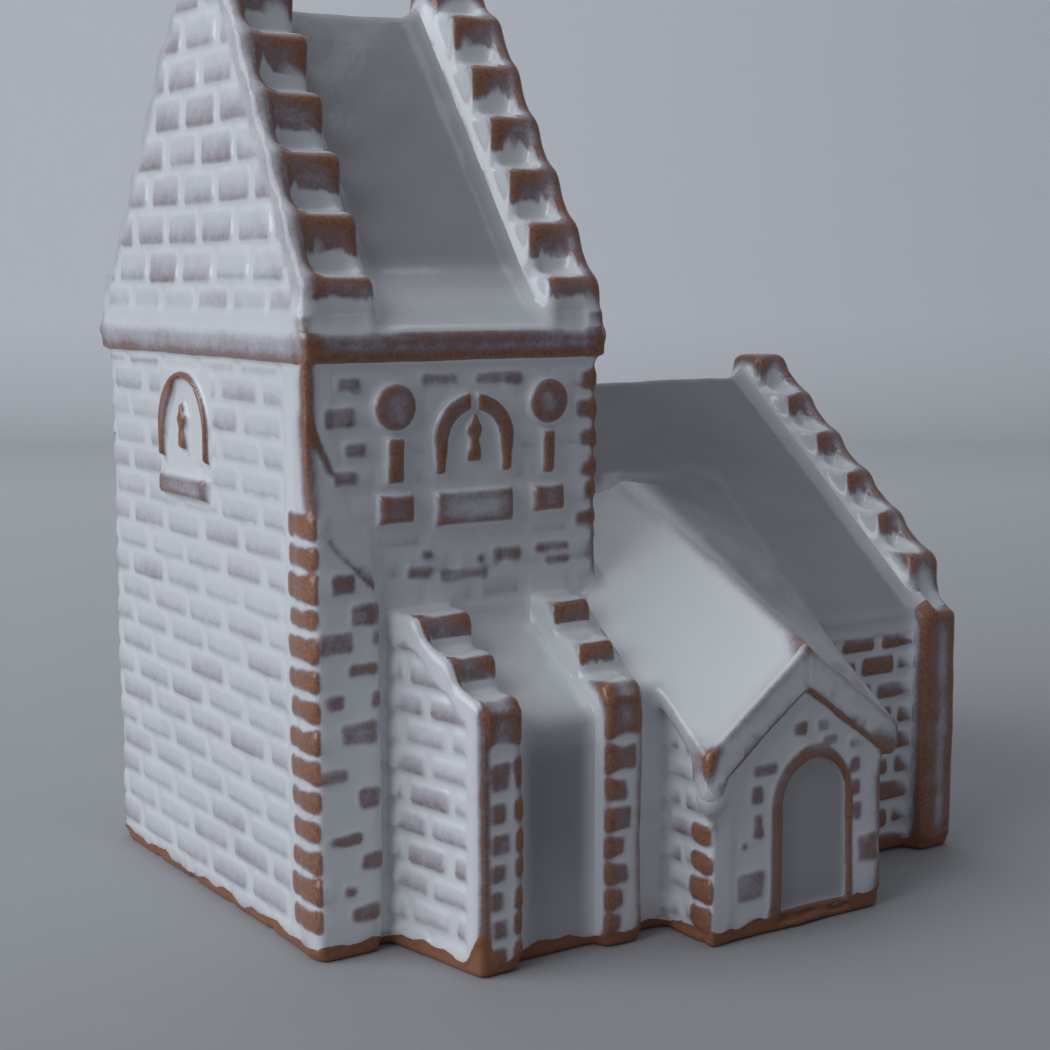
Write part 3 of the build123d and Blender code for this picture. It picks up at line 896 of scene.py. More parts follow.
def thin_lines(x, y, z, facing):
    """Fine edges where the glaze breaks: the pier's raking head and the bargeboards' lower edges."""
    front, inner, back_inner, back = pier_head()
    lines = [
        (0.35 * back_inner + 0.65 * back, back, 1.2, tower_low[1]),
        (0.75 * front + 0.25 * inner, 0.1 * front + 0.9 * inner, 0.9, corners("tower_corner_pier")[0][1]),
    ]
    plane = corners("porch_bargeboard_west")[0][1]
    for side, width in (("west", 0.7), ("east", 1.2)):
        board = lowered_board(f"porch_bargeboard_{side}")
        foot = board[board[:, 1].argmin()]
        ridge = board[:, 0].max() if side == "west" else board[:, 0].min()
        head = board[abs(board[:, 0] - ridge) < TOUCH]
        lines.append((foot, head[head[:, 1].argmin()], width, plane))
    cover = np.zeros(len(x), np.float32)
    for start, end, width, level in lines:
        shown = line_cover(x, z, start, end, width) * (abs(y - level) < SKIN_REACH)
        cover = np.maximum(cover, shown * facing)
    return cover


def window_field(node):
    """The wall inside a window's arch, down to its sill."""
    low, high = corners(node)
    axis = 1 if "south" in node else 0
    low[axis] -= ROOT
    high[axis] += ROOT
    return block(low, high)


SMOOTH_NODES = ("porch_roof", "bargeboard", "door", "pilaster")
works = brickwork()
smooth = [*reliefs.values(), *quoins, *rims, drip, pier_facet()]
smooth += [window_field(node) for node in regions if "window_arch" in node]
smooth += [regions[node] for node in regions if any(word in node for word in SMOOTH_NODES)]
CALM_SHARE = 0.3              # how much of the glaze's breaking is left in calm zones
CALM_EDGE = 0.9               # how far behind a face they reach
CALM_EAVE = 1.5               # and below the walls' heads


def calm_zones():
    """Outer edges where the glaze lies thick and doesn't break: the gable's rail, the stair house's and the
    corners between the quoins."""
    gable = block((tower_low[0] - MARGIN, tower_low[1] - MARGIN, wall_top),
                  (tower_low[0] + CALM_EDGE, tower_high[1] + MARGIN, tower_high[2] + MARGIN))
    low, high = corners("stair_west_parapet")
    front, _ = front_corner("stair_west_parapet")
    front_y = low[1] + CALM_EDGE
    plan = np.array([(low[0] + CALM_EDGE, high[1]), (low[0] - MARGIN, high[1]), (front - MARGIN, front_y),
                     (front + CALM_EDGE, front_y)])
    eave = block((tower_low[0] + MARGIN, tower_low[1] - MARGIN, wall_top - CALM_EAVE),
                 (tower_high[0] - MARGIN, tower_low[1] + 2 * MARGIN, wall_top + MARGIN))
    between = [block(mass.low - MARGIN, (*mass.low[:2] + QUOIN_CALM, mass.high[2] - MARGIN))
               for mass in quoins]
    parapet = prism([plan], 2, 0, high[2] + MARGIN)
    return [leaning(gable, wall_top, GABLE_LEAN), parapet, eave, drip, *between]


calm = calm_zones()
DOOR_RIM = 2.6                # width of the thin-glazed rim round the door


def door_rim(x, y, z, facing):
    """Where the rim round the porch's door is, broad on its west side and over the arch."""
    outline = profile("porch_door", 1)
    low, high = corners("porch_door")
    wall = corners("porch_south_wall")[0][1]
    width = DOOR_RIM * (1 - 0.7 * ease(x, (low[0] + high[0]) / 2, high[0]))
    out = polygon(outline, x, z)
    cover = ease(out, -0.7, -0.2) * (1 - ease(out, width - 0.4, width + 0.4))
    reveal = (1 - ease(abs(out), 0.4, 0.7)) * ease(y, wall + 0.1, wall + 0.5)
    return (cover + reveal) * facing * (abs(y - wall) < FACE_NEAR)


# The skin

def blurred(field, passes):
    """A field softened along each axis."""
    for _ in range(passes):
        for axis in range(3):
            pad = [(2, 2) if i == axis else (0, 0) for i in range(3)]
            wide = np.moveaxis(np.pad(field, pad, mode="edge"), axis, 0)
            parts = [wide[k:k + field.shape[axis]] for k in range(5)]
            total = parts[0] + parts[4] + 4 * (parts[1] + parts[3]) + 6 * parts[2]
            field = np.moveaxis(total / 16, 0, axis)
    return field


def averaged(field, width):
    """A field's mean over about a width, in lattice steps, along each axis."""
    for axis in range(3):
        for _ in range(3):
            pad = [(width // 2 + 1, width // 2) if i == axis else (0, 0) for i in range(3)]
            total = np.moveaxis(np.cumsum(np.pad(field, pad, mode="edge"), axis=axis), axis, 0)
            field = np.moveaxis((total[width:] - total[:-width]) / width, 0, axis)
    return field


FOOT_EDGE = 1.5               # height of the bare clay foot
FOOT_FRONT = 0.8              # how much higher it is along the front
FOOT_RISE = 4.5               # and at the stair house's south-west corner, within a short way
FOOT_NEAR = 2.4
FOOT_STEP = 0.3               # how far the clay lies below the glaze
FOOT_ROUND = (0.5, 1.2)       # how far the foot's lower edge is worn back, and up to which height
SKIN_REACH = 2.5              # how far from the soft shape the skin can lie
BODY_FILLET = 1.5             # glaze in the corners between masses, round thin work and in the door's recess
RELIEF_FILLET = 0.9
RECESS_FILLET = 0.6
BLUR_PASSES = 2
WALL_FACING = (0.45, 0.75)    # how squarely a surface has to look out for bricks to begin, and to be whole
EDGE_FACING = (0.2, 0.5)      # the same for fine edges
REVEAL_FACING = (-0.4, 0.0)   # and for the door's rim


def foot_height(x, y, z):
    """Height above the glaze's lower edge, which runs ragged round the bare clay foot."""
    edge = FOOT_EDGE + FOOT_FRONT * ease(-y, -20.0, 35.0)
    edge = edge + 0.5 * ripple(x, y, 0 * z, 14.0, 71) + 0.35 * ripple(x, y, 0 * z, 5.0, 72)
    corner = front_corner("stair_west_parapet")
    edge += FOOT_RISE * np.exp(-((x - corner[0]) ** 2 + (y - corner[1]) ** 2) / FOOT_NEAR ** 2)
    return z - edge


def outer_skin(grid, low, high):
    """The church's glazed outer surface near one piece."""
    shape = np.broadcast_shapes(*(axis.shape for axis in grid))
    skin = np.full(shape, MARGIN * 2, np.float32)
    for mass in nearby(bodies, low, high):
        skin = join(skin, mass.distance(grid).astype(np.float32), BODY_FILLET)
    skin = blurred(skin, BLUR_PASSES)
    for mass in nearby([*reliefs.values(), *strips], low, high):
        skin = join(skin, mass.distance(grid).astype(np.float32), RELIEF_FILLET)
    for mass in nearby([recess], low, high):
        skin = -join(-skin, mass.distance(grid).astype(np.float32), RECESS_FILLET)
    return skin


def press_courses(touch, place, normal, low, high):
    """Presses the brick courses into the skin at points near a piece."""
    kept = np.ones(len(place[0]), np.float32)
    for mass in nearby(smooth, low, high):
        kept = np.minimum(kept, ease(mass.distance(place), 0.2, 1.2))
    for work in nearby(works, low, high):
        inside = np.ones(len(kept), bool)
        for axis, value in enumerate(place):
            inside &= (value > work.low[axis]) & (value < work.high[axis])
        if not inside.any():
            continue
        along = place[1 - work.axis][inside]
        start = work.low[1 - work.axis]
        facing = ease(abs(normal[work.axis][inside]), *WALL_FACING) * ease(along, start, start + SOFT_START)
        facing *= kept[inside]
        depth, brick = mortar_depth(work, along, place[2][inside])
        touch.sunk[inside] += facing * depth
        touch.tone[inside] = np.maximum(touch.tone[inside], work.tone * facing * brick)
        touch.breaks[inside] += facing * (work.breaks - 1)
        touch.walled[inside] = np.maximum(touch.walled[inside], facing)


def lay_quoins(touch, place, normal, low, high):
    """Thins the glaze on the quoins' west faces."""
    for mass in nearby(quoins, low, high):
        inner = [value - QUOIN_SWELL * part for value, part in zip(place, normal)]
        face = 1 - ease(mass.distance(inner) + 0.15 * ripple(*place, 4.0, 75), 0.1, 0.7)
        face *= ease(-normal[0], 0.2, 0.6)
        touch.breaks = np.maximum(touch.breaks, face)
        touch.tone = np.maximum(touch.tone, QUOIN_TONE * face)
        touch.walled *= 1 - face


def pressed_relief(grid, skin, low, high):
    """How far the brick joints, the foot and the potter's hand lower the skin, how much they thin the glaze,
    how far it breaks on edges, and where there are bricks."""
    close = abs(skin) < SKIN_REACH
    place = tuple(np.broadcast_to(axis, skin.shape)[close] for axis in grid)
    slope = [part[close] for part in np.gradient(skin, PITCH)]
    size = np.sqrt(sum(part * part for part in slope)) + 1e-6
    normal = [part / size for part in slope]
    tone, breaks, walled = (np.full(len(size), value, np.float32) for value in (0, 1, 0))
    sunk = 0.10 * ripple(*place, 22.0, 61) + 0.03 * ripple(*place, 7.0, 62)
    touch = SimpleNamespace(sunk=sunk, tone=tone, breaks=breaks, walled=walled)
    press_courses(touch, place, normal, low, high)
    loose = loose_bricks(*place, ease(-normal[1], *WALL_FACING))
    loose = np.maximum(loose, door_rim(*place, ease(-normal[1], *REVEAL_FACING)))
    touch.sunk -= LOOSE_RAISE * loose
    touch.tone = np.maximum(touch.tone, LOOSE_TONE * loose)
    touch.tone = np.maximum(touch.tone, LINE_TONE * thin_lines(*place, ease(-normal[1], *EDGE_FACING)))
    for mass in nearby(calm, low, high):
        touch.breaks *= CALM_SHARE + (1 - CALM_SHARE) * ease(mass.distance(place), 0, 1.0)
    lay_quoins(touch, place, normal, low, high)
    touch.sunk += FOOT_STEP * ease(-foot_height(*place), -0.15, 0.25)
    touch.sunk += FOOT_ROUND[0] * np.maximum(1 - place[2] / FOOT_ROUND[1], 0) ** 2
    fields = np.zeros((4, *skin.shape), np.float32)
    fields[2] = 1
    for field, values in zip(fields, (touch.sunk, touch.tone, np.clip(touch.breaks, 0, 1), touch.walled)):
        field[close] = values
    return fields


def closed_in(field):
    """A field that is outside all round its lattice, and whose surface never meets itself along an edge."""
    for axis in range(3):
        np.moveaxis(field, axis, 0)[[0, -1]] = MARGIN
    pinched = True
    while pinched:
        pinched = False
        for axis in range(3):
            layers = np.moveaxis(field, axis, 0)
            inside = layers < 0
            a, b = inside[:, :-1, :-1], inside[:, 1:, :-1]
            c, d = inside[:, 1:, 1:], inside[:, :-1, 1:]
            for near, crossed in ((0, a & c & ~b & ~d), (1, b & d & ~a & ~c)):
                layer, row, column = np.nonzero(crossed)
                layers[layer, row + near, column] = PINCH
                pinched |= len(layer) > 0
    return field


def surface_net(field, start):
    """Vertices and quads of the surface where a field changes sign."""
    inside = field < 0
    n = [s - 1 for s in field.shape]
    offsets = [(i, j, k) for i in (0, 1) for j in (0, 1) for k in (0, 1)]
    count = np.zeros(n, np.uint8)
    for i, j, k in offsets:
        count += inside[i:i + n[0], j:j + n[1], k:k + n[2]]
    cells = np.argwhere((count > 0) & (count < 8))
    number = np.full(n, -1, np.int32)
    number[tuple(cells.T)] = np.arange(len(cells))
    values = np.stack([field[tuple((cells + o).T)] for o in offsets], axis=1)
    total = np.zeros((len(cells), 3))
    hits = np.zeros(len(cells))
    for a in range(8):
        for b in range(a + 1, 8):
            step = np.subtract(offsets[b], offsets[a])
            if abs(step).sum() != 1:
                continue
            va, vb = values[:, a], values[:, b]
            crossed = (va < 0) != (vb < 0)
            share = np.where(crossed, va / np.where(crossed, va - vb, 1), 0)
            total += np.where(crossed[:, None], np.array(offsets[a]) + share[:, None] * step, 0)
            hits += crossed
    vertices = start + PITCH * (cells + total / hits[:, None])
    quads = []
    for axis in range(3):
        one = [slice(None)] * 3
        two = [slice(None)] * 3
        one[axis] = slice(None, -1)
        two[axis] = slice(1, None)
        first, second = inside[tuple(one)], inside[tuple(two)]
        places = np.argwhere(first != second)
        others = [i for i in range(3) if i != axis]
        limit = [n[i] for i in others]
        valid = np.all((places[:, others] > 0) & (places[:, others] < limit), axis=1)
        places = places[valid]
        outward = first[tuple(places.T)]
        ring = []
        for a, b in ((1, 1), (0, 1), (0, 0), (1, 0)):
            cell = places.copy()
            cell[:, others[0]] -= a
            cell[:, others[1]] -= b
            ring.append(number[tuple(cell.T)])
        ring = np.stack(ring, axis=1)
        if axis == 1:
            outward = ~outward
        ring[~outward] = ring[~outward][:, ::-1]
        quads.append(ring)
    return vertices, np.concatenate(quads)


def one_island(vertices, quads):
    """The skin without loose crumbs: only the faces that hang together with most others."""
    group = np.arange(len(vertices))
    linked = None
    while linked is None or not np.array_equal(linked, group):
        group = group if linked is None else linked
        linked = group.copy()
        lowest = group[quads].min(axis=1)
        np.minimum.at(linked, quads, np.broadcast_to(lowest[:, None], quads.shape))
        linked = linked[linked]
    kept = group == np.bincount(group).argmax()
    number = np.cumsum(kept) - 1
    return vertices[kept], number[quads[kept[quads[:, 0]]]]


def sampled(field, start, points):
    """A lattice field's values at points, by straight interpolation."""
    place = np.clip((points - start) / PITCH, 0, np.array(field.shape) - 1.001)
    cell = place.astype(int)
    part = place - cell
    value = 0
    for i in (0, 1):
        for j in (0, 1):
            for k in (0, 1):
                weight = np.ones(len(points))
                for axis, far in enumerate((i, j, k)):
                    weight *= part[:, axis] if far else 1 - part[:, axis]
                value = value + weight * field[cell[:, 0] + i, cell[:, 1] + j, cell[:, 2] + k]
    return value


EDGE_SIZES = (2.5, 4.5)       # widths over which the glaze feels fine edges, and larger bends
EDGE_BREAK = 0.6              # how much each of them thins the glaze
BEND_BREAK = 0.35
POOLING = 0.06                # how much thicker it lies on faces that look up
RISER_TONE = 0.10             # how much thinner on the upper part of a coping's risers
RISER_LEVEL = 0.555           # and how thin it lies there at least
RISER_FACING = (0.3, 0.65)    # how squarely a riser has to look south or north
RISER_POOL = 0.27             # share of a riser that the white pool at its foot covers
RISER_EDGE = 0.07             # half the width of the pool's upper edge, as a share
POOL_TONE = 0.22              # how much thicker the glaze lies in the pool and on treads
RAIL_LINE = 0.20              # how much thinner along the inner edge of a west coping's rail
RAIL_EDGE = 0.5               # half the width of that edge
RAIL_SIDE = (0.8, 2.0)        # depth behind a rail up to which its side counts as a riser
COPING_FOOT = 4.0             # height over which a coping's glaze changes from the wall's to its own
TOWER_ROOF_SHADE = 0.85       # share of slate-grey darkening on the roofs, the stair house's panel and the door, partly the glaze's grey and partly painted shade
NAVE_ROOF_SHADE = 0.95
PORCH_ROOF_SHADE = 0.475
PANEL_SHADE = 1.0
DOOR_SHADE = 0.75
COPING_SHADOW = 0.85          # how much of it is missing beside the east copings
CORNICE_TONE = 0.16           # how much thinner the glaze is at the cornice's lower edge
GABLE_SIDES = 0.7             # and the share of that below the gables
VERGE_TONE = 0.13             # at the porch roof's front edge, along its ridge and at the west board's foot
RIDGE_TONE = 0.10
BOARD_TONE = 0.16
# How thin the glaze lies in each slot, how far it breaks on some pieces' edges and where it is thinner still
SLOT_LEVELS = {"brick_glaze": 0.30, "plain_glaze": 0.27, "broken_glaze": 0.40}
NODE_BREAKS = {"porch_roof": 0.6, "tower_roof": 0.3, "nave_roof": 0.3, "sill": 0.65, "lancet": 0.8,
               "bargeboard": 0.75, "cornice_west": 0.4, "cornice_east": 0.4, "coping": 0.8}
# on the nave's south wall this darker tone is partly painted shade, the wall lying in shadow beside the
# porch
NODE_TONES = {"pilaster": 0.19, "nave_south_wall": 0.06, "lancet_west": 0.03, "lancet_east": 0.03}
FOOT_CORNERS = 3.0            # how much higher the clay shows at the walls' corners


def odd_steps(size):
    return 2 * round(size / PITCH / 2) + 1


def tread_levels(node):
    """Heights of a stepped coping's treads."""
    levels = set()
    for loop in profile(node, 0, far_end="parapet" in node):
        for (au, av), (bu, bv) in zip(loop, np.roll(loop, -1, axis=0)):
            if abs(av - bv) < TOUCH and abs(au - bu) > 1:
                levels.add(round((av + bv) / 2, 1))
    return np.array(sorted(levels - {0.0}))


def riser_share(node, vertices, riser):
    """How far points lie on the upper part of a riser, not on a tread or in the pool at a riser's foot, and
    how far they lie above the lowest tread."""
    levels = tread_levels(node)
    levels = np.append(levels, 2 * levels[-1] - levels[-2])
    height = vertices[:, 2]
    step = np.clip(np.searchsorted(levels, height) - 1, 0, len(levels) - 2)
    share = (height - levels[step]) / (levels[step + 1] - levels[step])
    upper = ease(share, RISER_POOL - RISER_EDGE, RISER_POOL + RISER_EDGE) * riser
    return upper, ease(height, levels[0] - 0.5, levels[0] + 0.5)


def behind_rail(node, vertices):
    """How far a coping's points lie behind the rail along its outer side."""
    low, high = corners(node)
    if node == "stair_west_parapet":
        front, _ = front_corner(node)
        back_share = (vertices[:, 1] - low[1]) / (high[1] - low[1])
        face = front + (low[0] - front) * back_share
        return vertices[:, 0] - face - STAIR_RAIL + 0.2
    if node == "stair_east_parapet":
        return np.full(len(vertices), MARGIN)
    if "west" in node:
        lean = GABLE_LEAN * np.maximum(vertices[:, 2] - wall_top, 0)
        wave = 0.3 * ripple(*vertices.T, 7.0, 77)
        width = RAIL_WIDTH * (0.3 + 0.7 * ease(vertices[:, 2], wall_top, wall_top + 6))
        return vertices[:, 0] - lean + wave - low[0] - width
    return high[0] - RAIL_WIDTH - 0.1 - vertices[:, 0]


def node_shade(node, vertices):
    """How far the smooth slate-grey darkening covers a piece: roofs above their eaves, the panel and the
    door. It is partly the glaze's grey and partly painted shade, as on the nave roof in the tower's shadow
    and the porch roof's east slope.
    """
    across, along, height = vertices.T
    low, high = corners(node)
    if node in ("stair_front_panel", "stair_roof"):
        low, high = corners("stair_front_panel")
        sides = ease(across, low[0] + 0.5, low[0] + 4) * (1 - ease(across, high[0] - 4, high[0] - 0.5))
        upright = 1 - ease(height, high[2] - 7, high[2] + 5)
        # partly painted shade in the recessed panel: darker in its middle than at its sides, its foot and
        # its top edge
        return PANEL_SHADE * (0.3 + 0.7 * sides) * upright * (0.7 + 0.3 * ease(height, 4.0, 22.0))
    if node == "porch_door":
        return DOOR_SHADE + 0 * height
    if node.startswith("tower_roof"):
        east = 1 - COPING_SHADOW * ease(across, high[0] - 8.5, high[0] - 3.5)
        return TOWER_ROOF_SHADE * ease(height, low[2] + 1, low[2] + 10) * east
    if node.startswith("nave_roof"):
        east = 1 - COPING_SHADOW * ease(across, high[0] - 6, high[0] - 1)
        # partly painted shade: the nave roof lies in the tower's shadow
        return NAVE_ROOF_SHADE * ease(height, low[2] + 1, low[2] + 7) * east
    if node == "porch_roof_west":
        # painted shade: the porch roof's west slope darkens towards its upper end by the tower
        return PORCH_ROOF_SHADE * ease(along, high[1] - 16.0, high[1] - 1.0)
    if node == "porch_roof_east":
        # painted shade: the porch roof's east slope, which looks away from the light, turns as grey as the
        # nave roof
        return NAVE_ROOF_SHADE * ease(across - low[0], 2.0, 8.0) * ease(along - low[1], 6.0, 22.0)
    return 0 * height


def node_tone(node, vertices):
    """Thinner glaze on whole pieces, towards the cornice's lower edge and along the porch roof's edges. On
    the nave's south wall the darker whole-piece tone is partly painted shade.
    """
    across, along, height = vertices.T
    low, high = corners(node)
    tone = sum(part for name, part in NODE_TONES.items() if name in node) + 0 * height
    if "cornice" in node:
        share = 1.0 if node.endswith(("south", "north")) else GABLE_SIDES
        tone += share * CORNICE_TONE * (1 - ease(height, low[2], high[2]))
    if node.startswith("porch_roof"):
        ridge = high[0] if node.endswith("west") else low[0]
        tone += VERGE_TONE * (1 - ease(along - low[1], 0.5, 5.0))
        tone += RIDGE_TONE * (1 - ease(abs(across - ridge), 0.5, 4.0))
    if node == "porch_bargeboard_west":
        tone += BOARD_TONE * (1 - ease(across - low[0], 0.5, 3.5))
    return tone


def step_level(node, thin, skin, start, vertices):
    """The glaze on a stepped coping: thin on the risers and along the rail, thick in the pools between."""
    depth = behind_rail(node, vertices)
    steps = ease(depth, -RAIL_EDGE, RAIL_EDGE)
    riser = ease(abs(sampled(np.gradient(skin, PITCH, axis=1), start, vertices)), *RISER_FACING)
    riser = np.maximum(riser, 1 - ease(depth, *RAIL_SIDE))
    upper, on_steps = riser_share(node, vertices, riser)
    thin = thin + (RISER_TONE * upper - POOL_TONE * (1 - upper)) * on_steps * steps
    thin = np.maximum(thin, RISER_LEVEL * upper * on_steps * ease(steps, 0.05, 0.45))
    if "west" in node:
        foot = regions[node].low[2]
        thin += RAIL_LINE * 4 * steps * (1 - steps) * ease(vertices[:, 2], foot, foot + COPING_FOOT)
    return thin


def glaze_level(node, slot, skin, fields, start, vertices):
    """How thin the glaze lies at a piece's points, and how far the skin bends there."""
    tone, breaks, walled = (sampled(field, start, vertices) for field in fields)
    fill = np.clip(0.5 - skin / PITCH / 2, 0, 1)
    edges, bends = (1 - 2 * sampled(averaged(fill, odd_steps(size)), start, vertices) for size in EDGE_SIZES)
    upward = sampled(np.gradient(skin, PITCH, axis=2), start, vertices)
    if "tower" in node and "coping" in node:
        walled = np.maximum(walled, 1 - ease(vertices[:, 2], wall_top, wall_top + COPING_FOOT))
    breaks *= min([1.0] + [part for name, part in NODE_BREAKS.items() if name in node])
    thin = EDGE_BREAK * edges + BEND_BREAK * bends
    thin = np.where(thin > 0, thin * breaks, thin)
    thin += tone - POOLING * upward + node_tone(node, vertices)
    thin += SLOT_LEVELS[slot] * (1 - walled) + SLOT_LEVELS["brick_glaze"] * walled
    if "coping" in node or "parapet" in node:
        thin = step_level(node, thin, skin, start, vertices)
    return thin, bends


def glazed_piece(node, slot):
    """The closed skin of one CAD node, with how thin the glaze lies and its height above the foot."""
    own = regions[node]
    first = np.floor((own.low - MARGIN) / PITCH)
    last = np.ceil((own.high + MARGIN) / PITCH)
    axes = [(np.arange(a, b + 1) * PITCH).astype(np.float32) for a, b in zip(first, last)]
    start = first * PITCH
    grid = tuple(np.meshgrid(*axes, indexing="ij", sparse=True))
    soft = outer_skin(grid, own.low, own.high)
    sunk, *fields = pressed_relief(grid, soft, own.low, own.high)
    skin = soft + sunk
    mine = own.distance(grid)
    rivals = np.full(soft.shape, MARGIN * 2)
    others = [other for other in regions.values() if other is not own]
    for rival in nearby(others, own.low, own.high):
        rivals = np.minimum(rivals, rival.distance(grid))
    slack = SLACK * ease(soft, *SLACK_DEPTHS)
    dip = LAP_DIP * ease(mine - rivals, 0, LAP_EDGE)
    field = np.maximum(skin + dip, np.maximum(mine - slack, -grid[2]))
    field[field == 0] = PINCH
    vertices, quads = one_island(*surface_net(closed_in(field), start))
    thin, bends = glaze_level(node, slot, skin, fields, start, vertices)
    shares = {
        "thin": thin,
        "bare": foot_height(*vertices.T) - FOOT_CORNERS * bends,
        "shade": node_shade(node, vertices),
    }
    return vertices, quads, shares


def thin_out(piece):
    """Joins the smallest bends of a piece's skin into larger faces."""
    thinner = piece.modifiers.new("thin_out", "DECIMATE")
    thinner.ratio = KEPT_FACES
    shown = piece.evaluated_get(bpy.context.evaluated_depsgraph_get())
    piece.data = bpy.data.meshes.new_from_object(shown)
    piece.modifiers.clear()
    piece.data.shade_smooth()


def add_piece(node, material, slot):
    vertices, quads, shares = glazed_piece(node, slot)
    mesh = bpy.data.meshes.new(f"{node}_glazed")
    mesh.vertices.add(len(vertices))
    mesh.vertices.foreach_set("co", (vertices * MM).ravel())
    mesh.loops.add(quads.size)
    mesh.loops.foreach_set("vertex_index", quads.ravel())
    mesh.polygons.add(len(quads))
    mesh.polygons.foreach_set("loop_start", np.arange(0, quads.size, 4))
    for name, values in shares.items():
        attribute = mesh.attributes.new(name, "FLOAT", "POINT")
        attribute.data.foreach_set("value", np.asarray(values, np.float32))
    mesh.update(calc_edges=True)
    mesh.shade_smooth()
    mesh.materials.append(material)
    piece = bpy.data.objects.new(f"{node}_glazed", mesh)
    bpy.context.scene.collection.objects.link(piece)
    thin_out(piece)
    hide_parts(node)
    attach(piece, "root")
    return piece


# Materials

def node_tree(name):
    material = bpy.data.materials.new(name)
    material.use_nodes = True
    tree = material.node_tree
    return material, tree, tree.nodes["Principled BSDF"]


def noise(tree, scale, detail=3.0):
    texture = tree.nodes.new("ShaderNodeTexNoise")
    texture.inputs["Scale"].default_value = scale
    texture.inputs["Detail"].default_value = detail
    place = tree.nodes.new("ShaderNodeNewGeometry")
    tree.links.new(place.outputs["Position"], texture.inputs["Vector"])
    return texture.outputs["Fac"]


def maths(tree, operation, a, b):
    step = tree.nodes.new("ShaderNodeMath")
    step.operation = operation
    for socket, value in zip(step.inputs, (a, b)):
        if isinstance(value, (int, float)):
            socket.default_value = value
        else:
            tree.links.new(value, socket)
    return step.outputs[0]


def scaled(tree, value, start, rate):
    """A value counted from a start, and multiplied."""
    return maths(tree, "MULTIPLY", maths(tree, "SUBTRACT", value, start), rate)


def clamped(tree, value, least=0.0):
    return maths(tree, "MINIMUM", maths(tree, "MAXIMUM", value, least), 1.0)


def swayed(tree, value, texture, amount):
    """A value moved up and down by a texture."""
    return maths(tree, "ADD", value, scaled(tree, texture, 0.5, amount))


def attribute(tree, name):
    found = tree.nodes.new("ShaderNodeAttribute")
    found.attribute_name = name
    return found.outputs["Fac"]


def ramp(tree, value, stops):
    found = tree.nodes.new("ShaderNodeValToRGB")
    elements = found.color_ramp.elements
    while len(elements) < len(stops):
        elements.new(0.5)
    for element, (position, colour) in zip(elements, stops):
        element.position = position
        element.color = (*colour, 1)
    tree.links.new(value, found.inputs["Fac"])
    return found.outputs["Color"]


def mixed(tree, share, a, b):
    """A colour part of the way from one to another."""
    mix = tree.nodes.new("ShaderNodeMix")
    mix.data_type = "RGBA"
    tree.links.new(share, mix.inputs["Factor"])
    tree.links.new(a, mix.inputs["A"])
    if isinstance(b, tuple):
        mix.inputs["B"].default_value = (*b, 1)
    else:
        tree.links.new(b, mix.inputs["B"])
    return mix.outputs["Result"]


WHITE = (0.70, 0.71, 0.73)
MILKY = (0.62, 0.62, 0.65)
LAVENDER = (0.42, 0.395, 0.43)
MAUVE = (0.25, 0.175, 0.185)
RUST = (0.30, 0.130, 0.068)
UMBER = (0.115, 0.052, 0.036)
CLAY = (0.31, 0.122, 0.056)
# slate grey, partly the glaze's own grey and partly painted shade
SLATE_AND_SHADE = (0.275, 0.268, 0.288)


GLAZE_STOPS = [(0.0, WHITE), (0.32, WHITE), (0.40, MILKY), (0.47, LAVENDER), (0.55, MAUVE), (0.63, RUST)]
CLAY_STOPS = [(0.3, tuple(0.8 * c for c in CLAY)), (0.7, CLAY)]
BROAD_NOISE = 90.0            # textures' scales
MIDDLE_NOISE = 380.0
FINE_NOISE = 1500.0
SPECK_NOISE = 1700.0
BROAD_SWAY = 0.14             # how far they move the glaze's level
MIDDLE_SWAY = 0.14
FINE_SWAY = 0.12
STILL_SHARE = 0.3             # share of that which is left where the glaze lies thick
SPECK_SHARE = 0.6             # how much umber the specks in bare edges have


def glaze_colour(tree, thin, level, broad):
    """White through lavender and mauve to specked rust as the glaze thins, under the slate-grey darkening,
    which is partly the glaze's grey and partly painted shade.
    """
    colour = ramp(tree, level, GLAZE_STOPS)
    worn = clamped(tree, scaled(tree, level, 0.54, 9.0))
    speck = clamped(tree, scaled(tree, noise(tree, SPECK_NOISE), 0.45, 5.0))
    umber = maths(tree, "MULTIPLY", worn, maths(tree, "MULTIPLY", speck, SPECK_SHARE))
    colour = mixed(tree, umber, colour, UMBER)
    whole = maths(tree, "MINIMUM", scaled(tree, thin, 0.5, -6.0), 1.0)
    # the slate-grey darkening, partly painted shade, laid where the shade attribute says
    grey_and_shade = maths(tree, "MULTIPLY", attribute(tree, "shade"), swayed(tree, whole, broad, 0.15))
    return mixed(tree, grey_and_shade, colour, SLATE_AND_SHADE)


